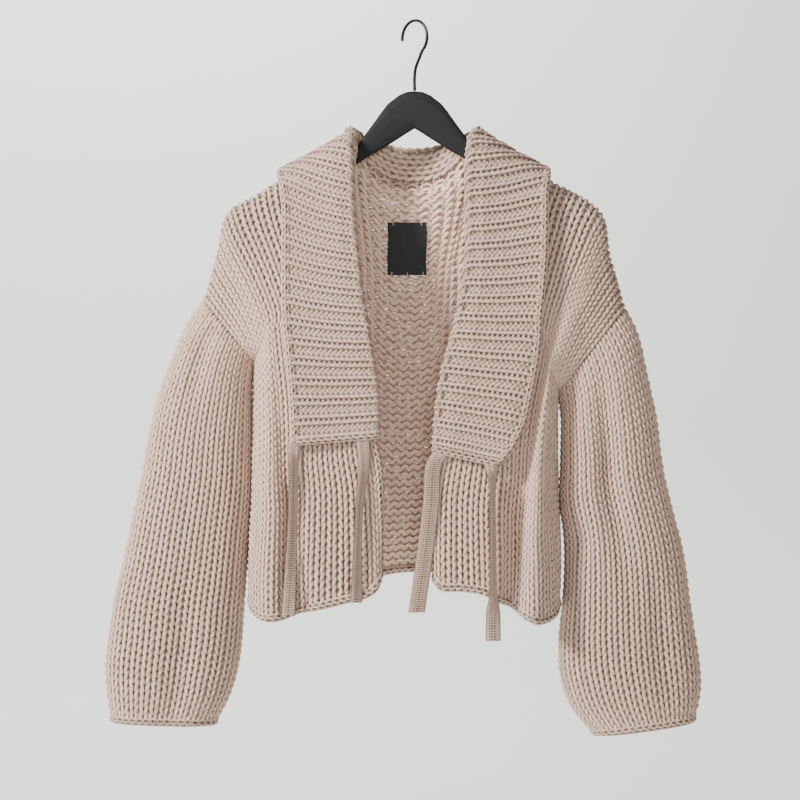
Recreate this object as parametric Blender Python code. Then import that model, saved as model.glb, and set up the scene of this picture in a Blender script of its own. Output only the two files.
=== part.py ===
"""A chunky knitted cardigan with a ribbed shawl collar and four ties, on a hanger.

The garment is worked out as one surface, the outer face of the knitting, cut at its seams into
a back, two fronts and two sleeves.  Each piece is that face with a wall behind it.  The collar is
a folded band laid from the points of the body, moved out.  Left and right are as seen from the
front, which faces -Y.  Tables are in millimetres, with the origin at the seat of the hook.
"""

import math

import bmesh
import bpy
import numpy as np
from mathutils import Vector
from mathutils.bvhtree import BVHTree

MILLIMETRE = 0.001
WALL = 6.0              # thickness of the chunky knitting
COLLAR_WALL = 5.0       # the ribbed band between its ribs
SEAM_GAP = 0.5          # between two pieces that are sewn together
SLEEVE_EASE = 0.9       # a sleeve's first ring stands this far off its seam
TIE_THICKNESS = 2.6
LABEL_THICKNESS = 1.0
WIRE = 3.8              # hook wire diameter

ARMPIT_HEIGHT = 0.64    # share of a panel's height that lies under the armhole
SIDE_SEGMENTS = 11
HALF_ARMHOLE_SEGMENTS = 9
FRONT_SEGMENTS = 10
NECK_SEGMENTS = 8
SLEEVE_SEGMENTS = 13
TUBE_SQUARENESS = 2.3   # exponent of a flattened tube's section
SHOULDER_ROLL = 16.0    # how far below the shoulder the cloth reaches its depth
SIDE_ROLL = 42.0

# Outer outlines seen from the front: x, z.
SHOULDER = {
    "left": [(-79, -143), (-112, -161), (-145, -180), (-197, -211), (-219, -223),
             (-229, -238), (-234, -264), (-241, -294), (-253, -334)],
    "right": [(77, -140), (122, -166), (168, -193), (213, -218), (225, -229),
              (230, -246), (233, -275), (240, -300), (252, -343)],
}
SIDE = {
    "left": [(-198, -690), (-193, -646), (-188, -574), (-186, -502), (-187, -436), (-192, -407)],
    "right": [(173, -694), (169, -646), (166, -563), (166, -478), (171, -443)],
}
HEM = {
    "left": [(-40, -659), (-44, -671), (-53, -680), (-77, -687), (-109, -695), (-137, -701),
             (-157, -708), (-182, -708), (-193, -701), (-198, -690)],
    "right": [(23, -664), (27, -672), (53, -674), (86, -680), (99, -687), (115, -694),
              (130, -707), (152, -713), (167, -706), (173, -694)],
}
FRONT_EDGE = {
    "left": [(-40, -659), (-40, -578), (-43, -530), (-51, -494), (-52, -470), (-57, -412),
             (-66, -362), (-73, -313), (-78, -269), (-82, -220), (-83, -175), (-79, -143)],
    "right": [(23, -664), (22, -600), (23, -555), (31, -510), (34, -470), (43, -416),
              (52, -382), (60, -350), (67, -313), (71, -270), (71, -214), (72, -165), (77, -140)],
}
BACK_HEM = [(-198, -690), (-150, -692), (-100, -678), (-39, -661), (-4, -657), (30, -658),
            (90, -672), (140, -692), (173, -694)]
# The back neckline from one neck point to the other: x, y, z.
NECKLINE = [(-79, 0, -143), (-73, 13, -158), (-60, 24, -178), (-34, 33, -195), (0, 36, -200),
            (34, 33, -195), (58, 24, -176), (71, 13, -156), (77, 0, -140)]

# How far each face stands from the middle plane: height, front, back.
DEPTH = [(0.00, 62, 52), (0.30, 58, 48), (0.55, 50, 43), (0.75, 40, 36), (0.90, 28, 27), (1.00, 18, 18)]

# Soft folds: across, half width, push (+ outwards), height where it has faded out.
FOLDS = {
    "left": [(0.00, 0.06, -9, 0.32), (0.62, 0.09, -20, 0.60), (0.80, 0.11, 13, 0.80)],
    "right": [(0.00, 0.06, -7, 0.30), (0.57, 0.09, -20, 0.85), (0.76, 0.12, 14, 0.95)],
    "back": [(0.24, 0.07, 10, 0.60), (0.40, 0.06, -9, 0.50), (0.70, 0.08, 11, 0.65)],
}

# Sleeve rings from the armhole to the cuff: outer x, z, inner x, z, depth, middle y.
SLEEVE = {
    "left": [
        (-253, -334, -192, -407, 60, 0), (-267, -353, -195, -427, 70, 0),
        (-292, -407, -196, -460, 80, 0), (-312, -466, -195, -502, 82, 0),
        (-326, -539, -195, -564, 84, -1), (-338, -595, -199, -616, 85, -2),
        (-348, -644, -202, -661, 86, -3), (-360, -694, -205, -708, 86, -4),
        (-366, -737, -208, -749, 84, -4), (-370, -772, -213, -780, 80, -5),
        (-368, -804, -222, -808, 74, -6), (-363, -834, -238, -838, 66, -6),
    ],
    "right": [
        (252, -343, 171, -443, 62, 0), (264, -365, 175, -466, 72, 0),
        (279, -426, 176, -502, 80, 0), (288, -466, 175, -538, 82, 0),
        (299, -544, 174, -580, 84, -1), (309, -586, 179, -612, 84, -2),
        (320, -628, 180, -648, 86, -3), (330, -698, 177, -701, 86, -4),
        (336, -737, 173, -742, 85, -4), (341, -770, 174, -780, 82, -5),
        (342, -802, 186, -818, 76, -6), (335, -834, 213, -851, 68, -6),
    ],
}
# Troughs down a sleeve's front and back: across (-1 inner, 1 outer), half width, depth,
# the place where it is deepest from armhole 0 to cuff 1, half length.
TROUGHS = {
    "left": [(-0.15, 0.30, 8, 0.85, 0.25), (0.35, 0.25, 6, 0.10, 0.20)],
    "right": [(-0.05, 0.28, 15, 0.35, 0.34), (-0.75, 0.25, 9, 0.52, 0.07), (0.45, 0.25, 6, 0.80, 0.20)],
}

# The collar from its left lower end over the neck to its right lower end, at the apex of its
# fold and at its free edge: fold x, y, z, edge x, y, z.
COLLAR = [
    (-43, -46, -494, -139, -54, -503), (-42, -46, -460, -141, -50, -466),
    (-48, -44, -412, -146, -48, -408), (-57, -42, -362, -151, -46, -362),
    (-64, -40, -313, -152, -43, -318), (-69, -36, -269, -152, -40, -281),
    (-73, -30, -220, -152, -34, -247), (-74, -22, -172, -152, -26, -217),
    (-74, -13, -140, -153, -14, -198), (-74, 4, -127, -150, 8, -186),
    (-57, 25, -138, -118, 34, -208), (-34, 38, -148, -70, 50, -232),
    (0, 44, -152, 0, 54, -242),
    (34, 38, -148, 70, 50, -232), (57, 25, -138, 118, 34, -208),
    (75, 4, -127, 148, 8, -184), (66, -14, -139, 152, -14, -196),
    (62, -22, -176, 153, -26, -213), (62, -30, -224, 153, -34, -245),
    (62, -36, -273, 152, -40, -283), (58, -40, -313, 149, -43, -320),
    (51, -42, -350, 144, -46, -358), (44, -42, -382, 140, -48, -391),
    (34, -44, -416, 133, -50, -430), (27, -46, -456, 122, -52, -473),
    (24, -46, -486, 112, -54, -507), (23, -46, -511, 97, -56, -528),
]
RIB_PITCH = 22.0
RIB_HEIGHTS = (0.0, 2.0, 1.5)           # groove, crest, shoulder
COLLAR_ROLL = 6.2                       # outer radius of the fold
COLLAR_CLEAR = 2.6                      # between the band and the cloth it lies on
COLLAR_EDGE_GAP = 3.1                   # from the band's sewn edge to the edge it is sewn to
LAPEL_LIFT = 5.0                        # how far the free edge stands off the fronts

# Ties from the collar down, a row each: x, z, degrees turned from flat, distance off the cloth.
TIES = {
    "tie_left_outer": (16.0, [(-142, -508, 0, 4), (-143, -530, 45, 2), (-144, -580, 50, 1),
                              (-146, -640, 35, 1), (-149, -708, 8, 1)]),
    "tie_left_inner": (16.0, [(-62, -502, 0, 4), (-60, -524, 20, 2), (-65, -575, 55, 1),
                              (-68, -640, 50, 1), (-69, -692, 30, 1)]),
    "tie_right_inner": (20.0, [(31, -516, 0, 4), (24, -526, 10, 3), (19, -576, 12, 2),
                               (12, -634, 10, 2), (2, -704, 14, 3)]),
    "tie_right_outer": (18.0, [(90, -532, 10, 4), (91, -552, 62, 2), (92, -620, 66, 1),
                               (92, -680, 62, 2), (92, -708, 20, 4), (92, -737, 8, 4)]),
}
TIE_SEGMENTS = 16

LABEL_CENTRE = (-9, -271)
LABEL_SIZE = (47, 63)

# The hanger's outline from its middle out, alike on both sides: x, top z, bottom z.
HANGER = [(0, -83, -128), (10, -84, -134), (19, -88, -140), (32, -98, -148), (40, -108, -153),
          (47, -118, -157), (55, -129, -161), (64, -141, -167), (73, -154, -174), (86, -160, -181),
          (122, -174.6, -199), (168, -201.6, -226), (197, -218.5, -242), (207, -228, -247),
          (212, -235, -244)]
HANGER_THICKNESS = 11.0
HOOK_RADIUS = 21.0
HOOK_TURN = math.radians(45)    # the hook is swivelled to hang over a rail
HOOK_START, HOOK_END = -55, 186     # degrees round the hook's circle
STEM = [(0, -82.6), (0, -64), (1.5, -56), (5.5, -48), (9.3, -42)]


def smooth_curve(table, places):
    """Points at places from 0 to 1 along one smooth curve through a table's rows."""
    rows = np.array(table, float)
    steps = np.linalg.norm(np.diff(rows[:, :3], axis=0), axis=1)
    at = np.concatenate(([0.0], np.cumsum(steps))) / steps.sum()
    slopes = np.gradient(rows, at, axis=0)
    places = np.asarray(places, float)
    part = np.clip(np.searchsorted(at, places, side="right") - 1, 0, len(at) - 2)
    length = (at[part + 1] - at[part])[:, None]
    t = (places - at[part])[:, None] / length
    start, end = rows[part], rows[part + 1]
    rise_start, rise_end = slopes[part] * length, slopes[part + 1] * length
    return ((2 * t**3 - 3 * t**2 + 1) * start + (t**3 - 2 * t**2 + t) * rise_start
            + (3 * t**2 - 2 * t**3) * end + (t**3 - t**2) * rise_end)


def unit(vectors):
    return vectors / np.maximum(np.linalg.norm(vectors, axis=-1, keepdims=True), 1e-9)


def bump(offset):
    """A soft hill, 1 at 0 and nothing past 2."""
    return np.exp(-2.0 * np.square(offset))


def rounded(distance, radius):
    """A quarter circle's rise, from 0 at the edge to 1 at the radius."""
    return np.sqrt(1 - np.square(1 - np.clip(distance / radius, 0, 1)))


# Places up and across the panels, closer together where the cloth turns.
armhole_turn = np.linspace(0, math.pi, HALF_ARMHOLE_SEGMENTS + 1)
up_side = np.linspace(0, ARMPIT_HEIGHT, SIDE_SEGMENTS + 1)[:-1]
up_armhole = ARMPIT_HEIGHT + (1 - ARMPIT_HEIGHT) * (1 - np.cos(armhole_turn)) / 2
UP = np.concatenate((up_side, up_armhole))
ACROSS = 1 - (1 - np.linspace(0, 1, FRONT_SEGMENTS + 1)) ** 1.35
SHOULDER_SHARE = 0.37       # of the back's width that hangs from each shoulder
BACK_ACROSS = np.concatenate((
    SHOULDER_SHARE * (1 - ACROSS[::-1]),
    np.linspace(SHOULDER_SHARE, 1 - SHOULDER_SHARE, NECK_SEGMENTS + 1)[1:-1],
    1 - SHOULDER_SHARE * (1 - ACROSS),
))


def sleeve_rings(side, rings, turn):
    """Rings of a sleeve, each from its outer point over the front to the inner and the back."""
    rows = smooth_curve(SLEEVE[side], rings)
    c, s = np.cos(turn), np.sin(turn)
    c = np.sign(c) * np.abs(c) ** (2 / TUBE_SQUARENESS)
    s = np.sign(s) * np.abs(s) ** (2 / TUBE_SQUARENESS)
    outer_x, outer_z, inner_x, inner_z, depth, middle_y = (rows[:, [k]] for k in range(6))
    x = (outer_x + inner_x) / 2 + c * (outer_x - inner_x) / 2
    z = (outer_z + inner_z) / 2 + c * (outer_z - inner_z) / 2
    half = depth / 2 * np.ones_like(c)
    for across, width, deep, place, reach in TROUGHS[side]:
        along = bump((np.asarray(rings)[:, None] - place) / reach) * np.clip(rings[:, None] * 12, 0, 1)
        half = half - deep * bump((c - across) / width) * along
    y = middle_y - s * half
    return np.stack((x, y, z), axis=-1)


def armhole(side):
    """Front half of a sleeve's first ring, from the armpit up to the end of the shoulder."""
    return sleeve_rings(side, np.array([0.0]), armhole_turn[::-1])[0]


def coons(bottom, top, left, right, across, up):
    """Fills a patch between its four edges."""
    u, v = across[:, None, None], up[None, :, None]
    corners = ((1 - u) * (1 - v) * bottom[0] + u * (1 - v) * bottom[-1]
               + (1 - u) * v * top[0] + u * v * top[-1])
    return ((1 - v) * bottom[:, None] + v * top[:, None]
            + (1 - u) * left[None] + u * right[None] - corners)


def depth_of(across, up, column, folds):
    """Distance of a face from the middle plane, with its soft folds."""
    rows = np.array(DEPTH)
    depth = np.interp(up, rows[:, 0], rows[:, column])[None, :] * np.ones((len(across), 1))
    for place, width, push, faded in folds:
        fade = np.clip(1 - up / faded, 0, 1)
        depth = depth + push * bump((across[:, None] - place) / width) * fade[None, :]
    return depth


def side_edge(side):
    """The side seam and the front half of the armhole, from the hem to the shoulder's end."""
    places = UP[:SIDE_SEGMENTS] / ARMPIT_HEIGHT
    seam = smooth_curve(SIDE[side], places)
    seam = np.stack((seam[:, 0], np.zeros(len(seam)), seam[:, 1]), axis=-1)
    return np.concatenate((seam, armhole(side)))


def flat(points):
    return points[:, [0, 2]]


def front_panel(side):
    """Outer face of one front, from its opening to its side and from the hem to the shoulder."""
    top = smooth_curve(SHOULDER[side], ACROSS)
    edge = side_edge(side)
    places = coons(smooth_curve(HEM[side], ACROSS), top, smooth_curve(FRONT_EDGE[side], UP),
                   flat(edge), ACROSS, UP)
    below = np.linalg.norm(places - places[:, -1:], axis=-1)
    inside = np.linalg.norm(places - places[-1:], axis=-1)
    y = -depth_of(ACROSS, UP, 1, FOLDS[side]) * rounded(below, SHOULDER_ROLL)
    y = edge[None, :, 1] + (y - edge[None, :, 1]) * rounded(inside, SIDE_ROLL)
    points = np.stack((places[..., 0], y, places[..., 1]), axis=-1)
    points[-1] = edge
    return points


def back_panel(left, right):
    """Outer face of the back, from the left side to the right."""
    neck = smooth_curve(NECKLINE, np.linspace(0, 1, NECK_SEGMENTS + 1))
    top = np.concatenate((left[::-1, -1], neck[1:-1], right[:, -1]))
    to_back = np.array((1, -1, 1))
    left_edge, right_edge = left[-1] * to_back, right[-1] * to_back
    places = coons(smooth_curve(BACK_HEM, BACK_ACROSS), flat(top), flat(left_edge),
                   flat(right_edge), BACK_ACROSS, UP)
    below = np.linalg.norm(places - places[:, -1:], axis=-1)
    neck_roll = np.where(top[:, 1] > 1, 60.0, SHOULDER_ROLL)[:, None]
    y = depth_of(BACK_ACROSS, UP, 2, FOLDS["back"])
    y = top[:, None, 1] + (y - top[:, None, 1]) * rounded(below, neck_roll)
    for edge, end in ((left_edge, places[:1]), (right_edge, places[-1:])):
        inside = np.linalg.norm(places - end, axis=-1)
        y = edge[None, :, 1] + (y - edge[None, :, 1]) * rounded(inside, SIDE_ROLL)
    points = np.stack((places[..., 0], y, places[..., 1]), axis=-1)
    points[:, -1] = top
    points[0], points[-1] = left_edge, right_edge
    return points


def sleeve(side):
    turn = np.linspace(0, 2 * math.pi, 2 * HALF_ARMHOLE_SEGMENTS + 1)[:-1]
    rings = sleeve_rings(side, np.linspace(0, 1, SLEEVE_SEGMENTS + 1), turn)
    front = armhole(side)[::-1]
    rings[0, :HALF_ARMHOLE_SEGMENTS + 1] = front
    rings[0, HALF_ARMHOLE_SEGMENTS + 1:] = (front * np.array((1, -1, 1)))[1:-1][::-1]
    return rings


def face_normals(grid, wrap, outward):
    """Area-weighted normal of each quad of a grid, turned the way the piece faces."""
    following = np.roll(grid, -1, axis=1) if wrap else grid[:, 1:]
    near = grid if wrap else grid[:, :-1]
    normals = np.cross(following[1:] - near[:-1], near[1:] - following[:-1])
    return normals * outward


def shared_normals(pieces):
    """Normals at every point, the same on both sides of a seam."""
    total = {}
    found = {}
    for name, (grid, wrap, outward) in pieces.items():
        normals = np.zeros_like(grid)
        faces = face_normals(grid, wrap, outward)
        if wrap:
            both = faces + np.roll(faces, 1, axis=1)
            normals[:-1] += both
            normals[1:] += both
        else:
            normals[:-1, :-1] += faces
            normals[1:, :-1] += faces
            normals[:-1, 1:] += faces
            normals[1:, 1:] += faces
        found[name] = normals
        for point, normal in zip(grid.reshape(-1, 3), normals.reshape(-1, 3)):
            key = tuple(np.round(point, 2))
            total[key] = total.get(key, 0) + normal
    for name, (grid, wrap, outward) in pieces.items():
        keys = [tuple(np.round(point, 2)) for point in grid.reshape(-1, 3)]
        shared = np.array([total[key] for key in keys]).reshape(grid.shape)
        shared[..., 1] *= np.abs(grid[..., 1]) > 0.01     # seams in the middle plane stay in it
        found[name] = unit(shared)
    return found


def seam_shift(grid, normals, ends):
    """Moves of half a seam's gap into the piece, square to the cut at each named edge."""
    shift = np.zeros_like(grid)
    for axis, edge in ends:
        rows = np.moveaxis(grid, axis, 0)
        border, inner = (rows[0], rows[1]) if edge == 0 else (rows[-1], rows[-2])
        along = unit(np.gradient(border, axis=0))
        facing = np.moveaxis(normals, axis, 0)[edge]
        inward = unit(inner - border)
        inward = unit(inward - np.sum(inward * along, axis=-1, keepdims=True) * along)
        square = inward - np.sum(inward * facing, axis=-1, keepdims=True) * facing
        steep = np.linalg.norm(square, axis=-1, keepdims=True) < 0.05
        np.moveaxis(shift, axis, 0)[edge] += np.where(steep, inward, unit(square)) * SEAM_GAP / 2
    return shift


def sleeve_shift(rings):
    """Moves a sleeve's first ring off its armhole in one piece."""
    line = unit(rings[0, 0] - rings[0, HALF_ARMHOLE_SEGMENTS])
    away = np.mean(rings[1] - rings[0], axis=0) * np.array((1, 0, 1))
    shift = np.zeros_like(rings)
    shift[0] = unit(away - np.dot(away, line) * line) * SLEEVE_EASE
    return shift


def quads_between(rows, columns, wrap):
    across = columns if wrap else columns - 1
    for i in range(rows - 1):
        for j in range(across):
            k = (j + 1) % columns
            yield i * columns + j, (i + 1) * columns + j, (i + 1) * columns + k, i * columns + k


def wall_mesh(name, outer, inner, wrap):
    """A closed wall between two grids of points."""
    rows, columns = outer.shape[:2]
    shift = rows * columns
    faces = list(quads_between(rows, columns, wrap))
    faces += [tuple(reversed([k + shift for k in face])) for face in faces]
    border = []
    if wrap:
        for i in (0, rows - 1):
            loop = [i * columns + j for j in range(columns)]
            border.append(loop + loop[:1])
    else:
        around = [j for j in range(columns)]
        around += [i * columns + columns - 1 for i in range(1, rows)]
        around += [(rows - 1) * columns + j for j in range(columns - 2, -1, -1)]
        around += [i * columns for i in range(rows - 2, -1, -1)]
        border.append(around)
    for loop in border:
        faces += [(a, b, b + shift, a + shift) for a, b in zip(loop, loop[1:])]
    mesh = bpy.data.meshes.new(name)
    points = np.concatenate((outer.reshape(-1, 3), inner.reshape(-1, 3))) * MILLIMETRE
    mesh.from_pydata(points.tolist(), [], faces)
    body = bmesh.new()
    body.from_mesh(mesh)
    bmesh.ops.recalc_face_normals(body, faces=body.faces)
    body.to_mesh(mesh)
    body.free()
    mesh.shade_smooth()
    mesh.set_sharp_from_angle(angle=math.radians(50))
    return mesh


def add_object(name, mesh, material, collection):
    thing = bpy.data.objects.new(name, mesh)
    thing.data.materials.append(material)
    collection.objects.link(thing)
    return thing


def surface_tree(pieces):
    """A search tree over the outer faces of some pieces, facing outwards."""
    points, faces = [], []
    for grid, _, outward in pieces:
        start = len(points)
        points += [Vector(p) for p in grid.reshape(-1, 3)]
        for quad in quads_between(*grid.shape[:2], False):
            corners = [start + k for k in quad]
            faces.append(corners[::-1] if outward > 0 else corners)
    return BVHTree.FromPolygons(points, faces)


def neck_seam(pieces, normals):
    """The edge that the collar is sewn to, from one hem over the neck to the other."""
    points, facing, away = [], [], []
    left, right, back = (pieces[name][0] for name in ("front_left", "front_right", "back"))
    neck = slice(FRONT_SEGMENTS + 1, FRONT_SEGMENTS + NECK_SEGMENTS)
    rows = (
        (left[0], left[1], normals["front_left"][0]),
        (back[neck, -1], back[neck, -2], normals["back"][neck, -1]),
        (right[0][::-1], right[1][::-1], normals["front_right"][0][::-1]),
    )
    for border, inner, normal in rows:
        points.append(border)
        facing.append(normal)
        along = unit(np.gradient(border, axis=0))
        outwards = border - inner
        away.append(unit(outwards - np.sum(outwards * along, axis=1, keepdims=True) * along))
    table = np.concatenate([np.concatenate(group) for group in (points, facing, away)], axis=1)
    steps = np.linalg.norm(np.diff(table[:, :3], axis=0), axis=1)
    at = np.concatenate(([0.0], np.cumsum(steps)))
    places = np.linspace(0, at[-1], 1200)
    return np.stack([np.interp(places, at, column) for column in table.T], axis=1)


def laid_on(body, place, lift, only_clear=False):
    """A place of the collar's outer face moved along the cloth's normal until it lies on the cloth."""
    nearest, facing, _, _ = body.find_nearest(Vector(place))
    facing = np.array(facing)
    height = float(np.dot(place - np.array(nearest), facing))
    wanted = COLLAR_WALL + COLLAR_CLEAR + lift
    if only_clear and height > wanted:
        return place
    return place + facing * (wanted - height)


def collar_grids(pieces, normals):
    """Outer and inner face of the collar, a row for each place along it."""
    seam = neck_seam(pieces, normals)
    rows = np.array(COLLAR, float)
    middle = (rows[:, :3] + rows[:, 3:]) / 2
    length = np.linalg.norm(np.diff(middle, axis=0), axis=1).sum()
    ribs = round(length / RIB_PITCH)
    count = ribs * len(RIB_HEIGHTS)
    places = np.linspace(0, 1, count + 1)
    table = np.concatenate((middle, rows), axis=1)
    lines = smooth_curve(table, places)[:, 3:]
    body = surface_tree([pieces[name] for name in ("front_left", "back", "front_right")])
    base, sewn_normals = [], []
    for fold, edge in zip(lines[:, :3], lines[:, 3:]):
        nearest = seam[np.argmin(np.linalg.norm(seam[:, :3] - fold, axis=1))]
        point, normal, away = nearest[:3], unit(nearest[3:6]), unit(nearest[6:9])
        sewn = point - normal * (WALL - 0.4) + away * COLLAR_EDGE_GAP
        sewn_normals.append(-normal)
        fold = fold.copy()
        if point[1] < -1:
            fold[1] = point[1] + 0.2
        fall, stand = unit(edge - fold), unit(sewn - fold)
        crest = -unit(fall + stand)
        outward = unit(normal - np.dot(normal, crest) * crest)
        centre = fold - crest * COLLAR_ROLL
        section = [sewn]
        for degrees in (-90, -35, 35, 90):
            turn = math.radians(degrees)
            place = centre + COLLAR_ROLL * (crest * math.cos(turn) + outward * math.sin(turn))
            section.append(place if degrees < 0 else laid_on(body, place, 0, only_clear=True))
        start = section[-1]
        for share in (0.18, 0.42, 0.7, 1.0):
            section.append(laid_on(body, start + (edge - start) * share, LAPEL_LIFT * max(share**2, 0.3)))
        base.append(section)
    base = np.array(base)
    facing = face_normals(base, False, 1.0)
    normals_at = np.zeros_like(base)
    for i in (slice(None, -1), slice(1, None)):
        for j in (slice(None, -1), slice(1, None)):
            normals_at[i, j] += facing
    normals_at = unit(normals_at)
    if np.mean(normals_at[:8, -1, 1]) > 0:
        normals_at = -normals_at
    normals_at[:, 0] = sewn_normals
    heights = np.resize(np.array(RIB_HEIGHTS), count + 1)
    heights[:2] = heights[-2:] = RIB_HEIGHTS[-1]
    fade = np.array((0.0, 0.3, 1.0, 1.0, 1.0, 1.0, 1.0, 1.0, 0.5))
    outer = base + normals_at * heights[:, None, None] * fade[None, :, None]
    inner = base - normals_at * COLLAR_WALL
    return outer, inner


def tie_rings(name, body, collar_end):
    """Rings of four corners down a tie, from the collar's lower end, turned and off the cloth."""
    width, table = TIES[name]
    rows = np.array(table, float)
    along = np.concatenate((rows[:, :2], rows[:, 2:]), axis=1)
    end = collar_end[np.argsort(collar_end[:, 0])]
    reach = along[0, 0] + width / 2 * np.array((-1, 0, 1))
    along[0, 1] = np.min(np.interp(reach, end[:, 0], end[:, 2])) - SEAM_GAP
    stations = smooth_curve(along, np.linspace(0, 1, TIE_SEGMENTS + 1))
    depth = []
    for x, z, degrees, off in stations:
        turn = math.radians(degrees)
        reach = [x + width / 2 * math.cos(turn) * k for k in (-1, 0, 1)]
        hits = [body.ray_cast(Vector((at, -500, z)), Vector((0, 1, 0)))[0] for at in reach]
        found = [hit[1] for hit in hits if hit is not None]
        thick = width / 2 * math.sin(turn) + TIE_THICKNESS / 2
        depth.append((min(found) if found else np.nan) - thick - off)
    depth = np.array(depth)
    missing = np.isnan(depth)
    depth[missing] = depth[~missing][-1] if missing[-1] else np.min(depth[~missing])
    depth = np.convolve(np.pad(depth, 1, mode="edge"), (0.25, 0.5, 0.25), mode="valid")
    depth[0] = np.interp(along[0, 0], end[:, 0], end[:, 1])
    rings = []
    for (x, z, degrees, off), y in zip(stations, depth):
        turn = math.radians(degrees)
        wide = np.array((math.cos(turn), math.sin(turn), 0)) * width / 2
        thick = np.array((-math.sin(turn), math.cos(turn), 0)) * TIE_THICKNESS / 2
        middle = np.array((x, y, z))
        rings.append([middle - wide - thick, middle + wide - thick,
                      middle + wide + thick, middle - wide + thick])
    return np.array(rings)


def tube_mesh(name, rings):
    """A closed body through rings of points, filled at both ends."""
    count, around = rings.shape[:2]
    faces = list(quads_between(count, around, True))
    faces += [tuple(range(around)), tuple(range((count - 1) * around, count * around))]
    mesh = bpy.data.meshes.new(name)
    mesh.from_pydata((rings.reshape(-1, 3) * MILLIMETRE).tolist(), [], faces)
    body = bmesh.new()
    body.from_mesh(mesh)
    bmesh.ops.recalc_face_normals(body, faces=body.faces)
    body.to_mesh(mesh)
    body.free()
    mesh.shade_smooth()
    mesh.set_sharp_from_angle(angle=math.radians(40))
    return mesh


def label_grids(back_inner):
    """Both faces of the label, laid on the inside of the back."""
    tree = surface_tree([(back_inner, False, 1.0)])
    width, height = LABEL_SIZE
    rows = []
    for z in np.linspace(LABEL_CENTRE[1] + height / 2, LABEL_CENTRE[1] - height / 2, 7):
        row = []
        for x in np.linspace(LABEL_CENTRE[0] - width / 2, LABEL_CENTRE[0] + width / 2, 6):
            place = tree.ray_cast(Vector((x, -500, z)), Vector((0, 1, 0)))[0]
            row.append((x, place[1] - 0.5, z))
        rows.append(row)
    behind = np.array(rows)
    return behind - np.array((0, LABEL_THICKNESS, 0)), behind


def hanger_rings():
    rows = [(-x, top, bottom) for x, top, bottom in reversed(HANGER[1:])] + HANGER
    turns = np.linspace(0, 2 * math.pi, 13)[:-1]
    rings = []
    for x, top, bottom in rows:
        c, s = np.cos(turns), np.sin(turns)
        y = HANGER_THICKNESS / 2 * np.sign(c) * np.abs(c) ** 0.8
        z = (top + bottom) / 2 + (top - bottom) / 2 * np.sign(s) * np.abs(s) ** 0.8
        rings.append(np.stack((np.full_like(y, x), y, z), axis=-1))
    return np.array(rings)


def hook_points():
    """The hook's wire in its own upright plane, then turned about the stem."""
    centre = WIRE / 2 - HOOK_RADIUS
    run = list(STEM)
    for degrees in np.linspace(HOOK_START, HOOK_END, 22):
        turn = math.radians(degrees)
        run.append((HOOK_RADIUS * math.cos(turn), centre + HOOK_RADIUS * math.sin(turn)))
    run = smooth_curve(run, np.linspace(0, 1, 28))
    return [(r * math.cos(HOOK_TURN), -r * math.sin(HOOK_TURN), z) for r, z in run]


def add_hook(collection, material):
    curve = bpy.data.curves.new("hanger_hook", "CURVE")
    curve.dimensions = "3D"
    curve.bevel_depth = WIRE / 2 * MILLIMETRE
    curve.bevel_resolution = 2
    curve.use_fill_caps = True
    points = hook_points()
    spline = curve.splines.new("POLY")
    spline.points.add(len(points) - 1)
    for point, place in zip(spline.points, points):
        point.co = [c * MILLIMETRE for c in place] + [1.0]
    return add_object("hanger_hook", curve, material, collection)


def make_material(name, colour, roughness, metallic=0.0):
    material = bpy.data.materials.new(name)
    material.use_nodes = True
    shader = material.node_tree.nodes["Principled BSDF"]
    shader.inputs["Base Color"].default_value = (*colour, 1.0)
    shader.inputs["Roughness"].default_value = roughness
    shader.inputs["Metallic"].default_value = metallic
    return material


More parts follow.
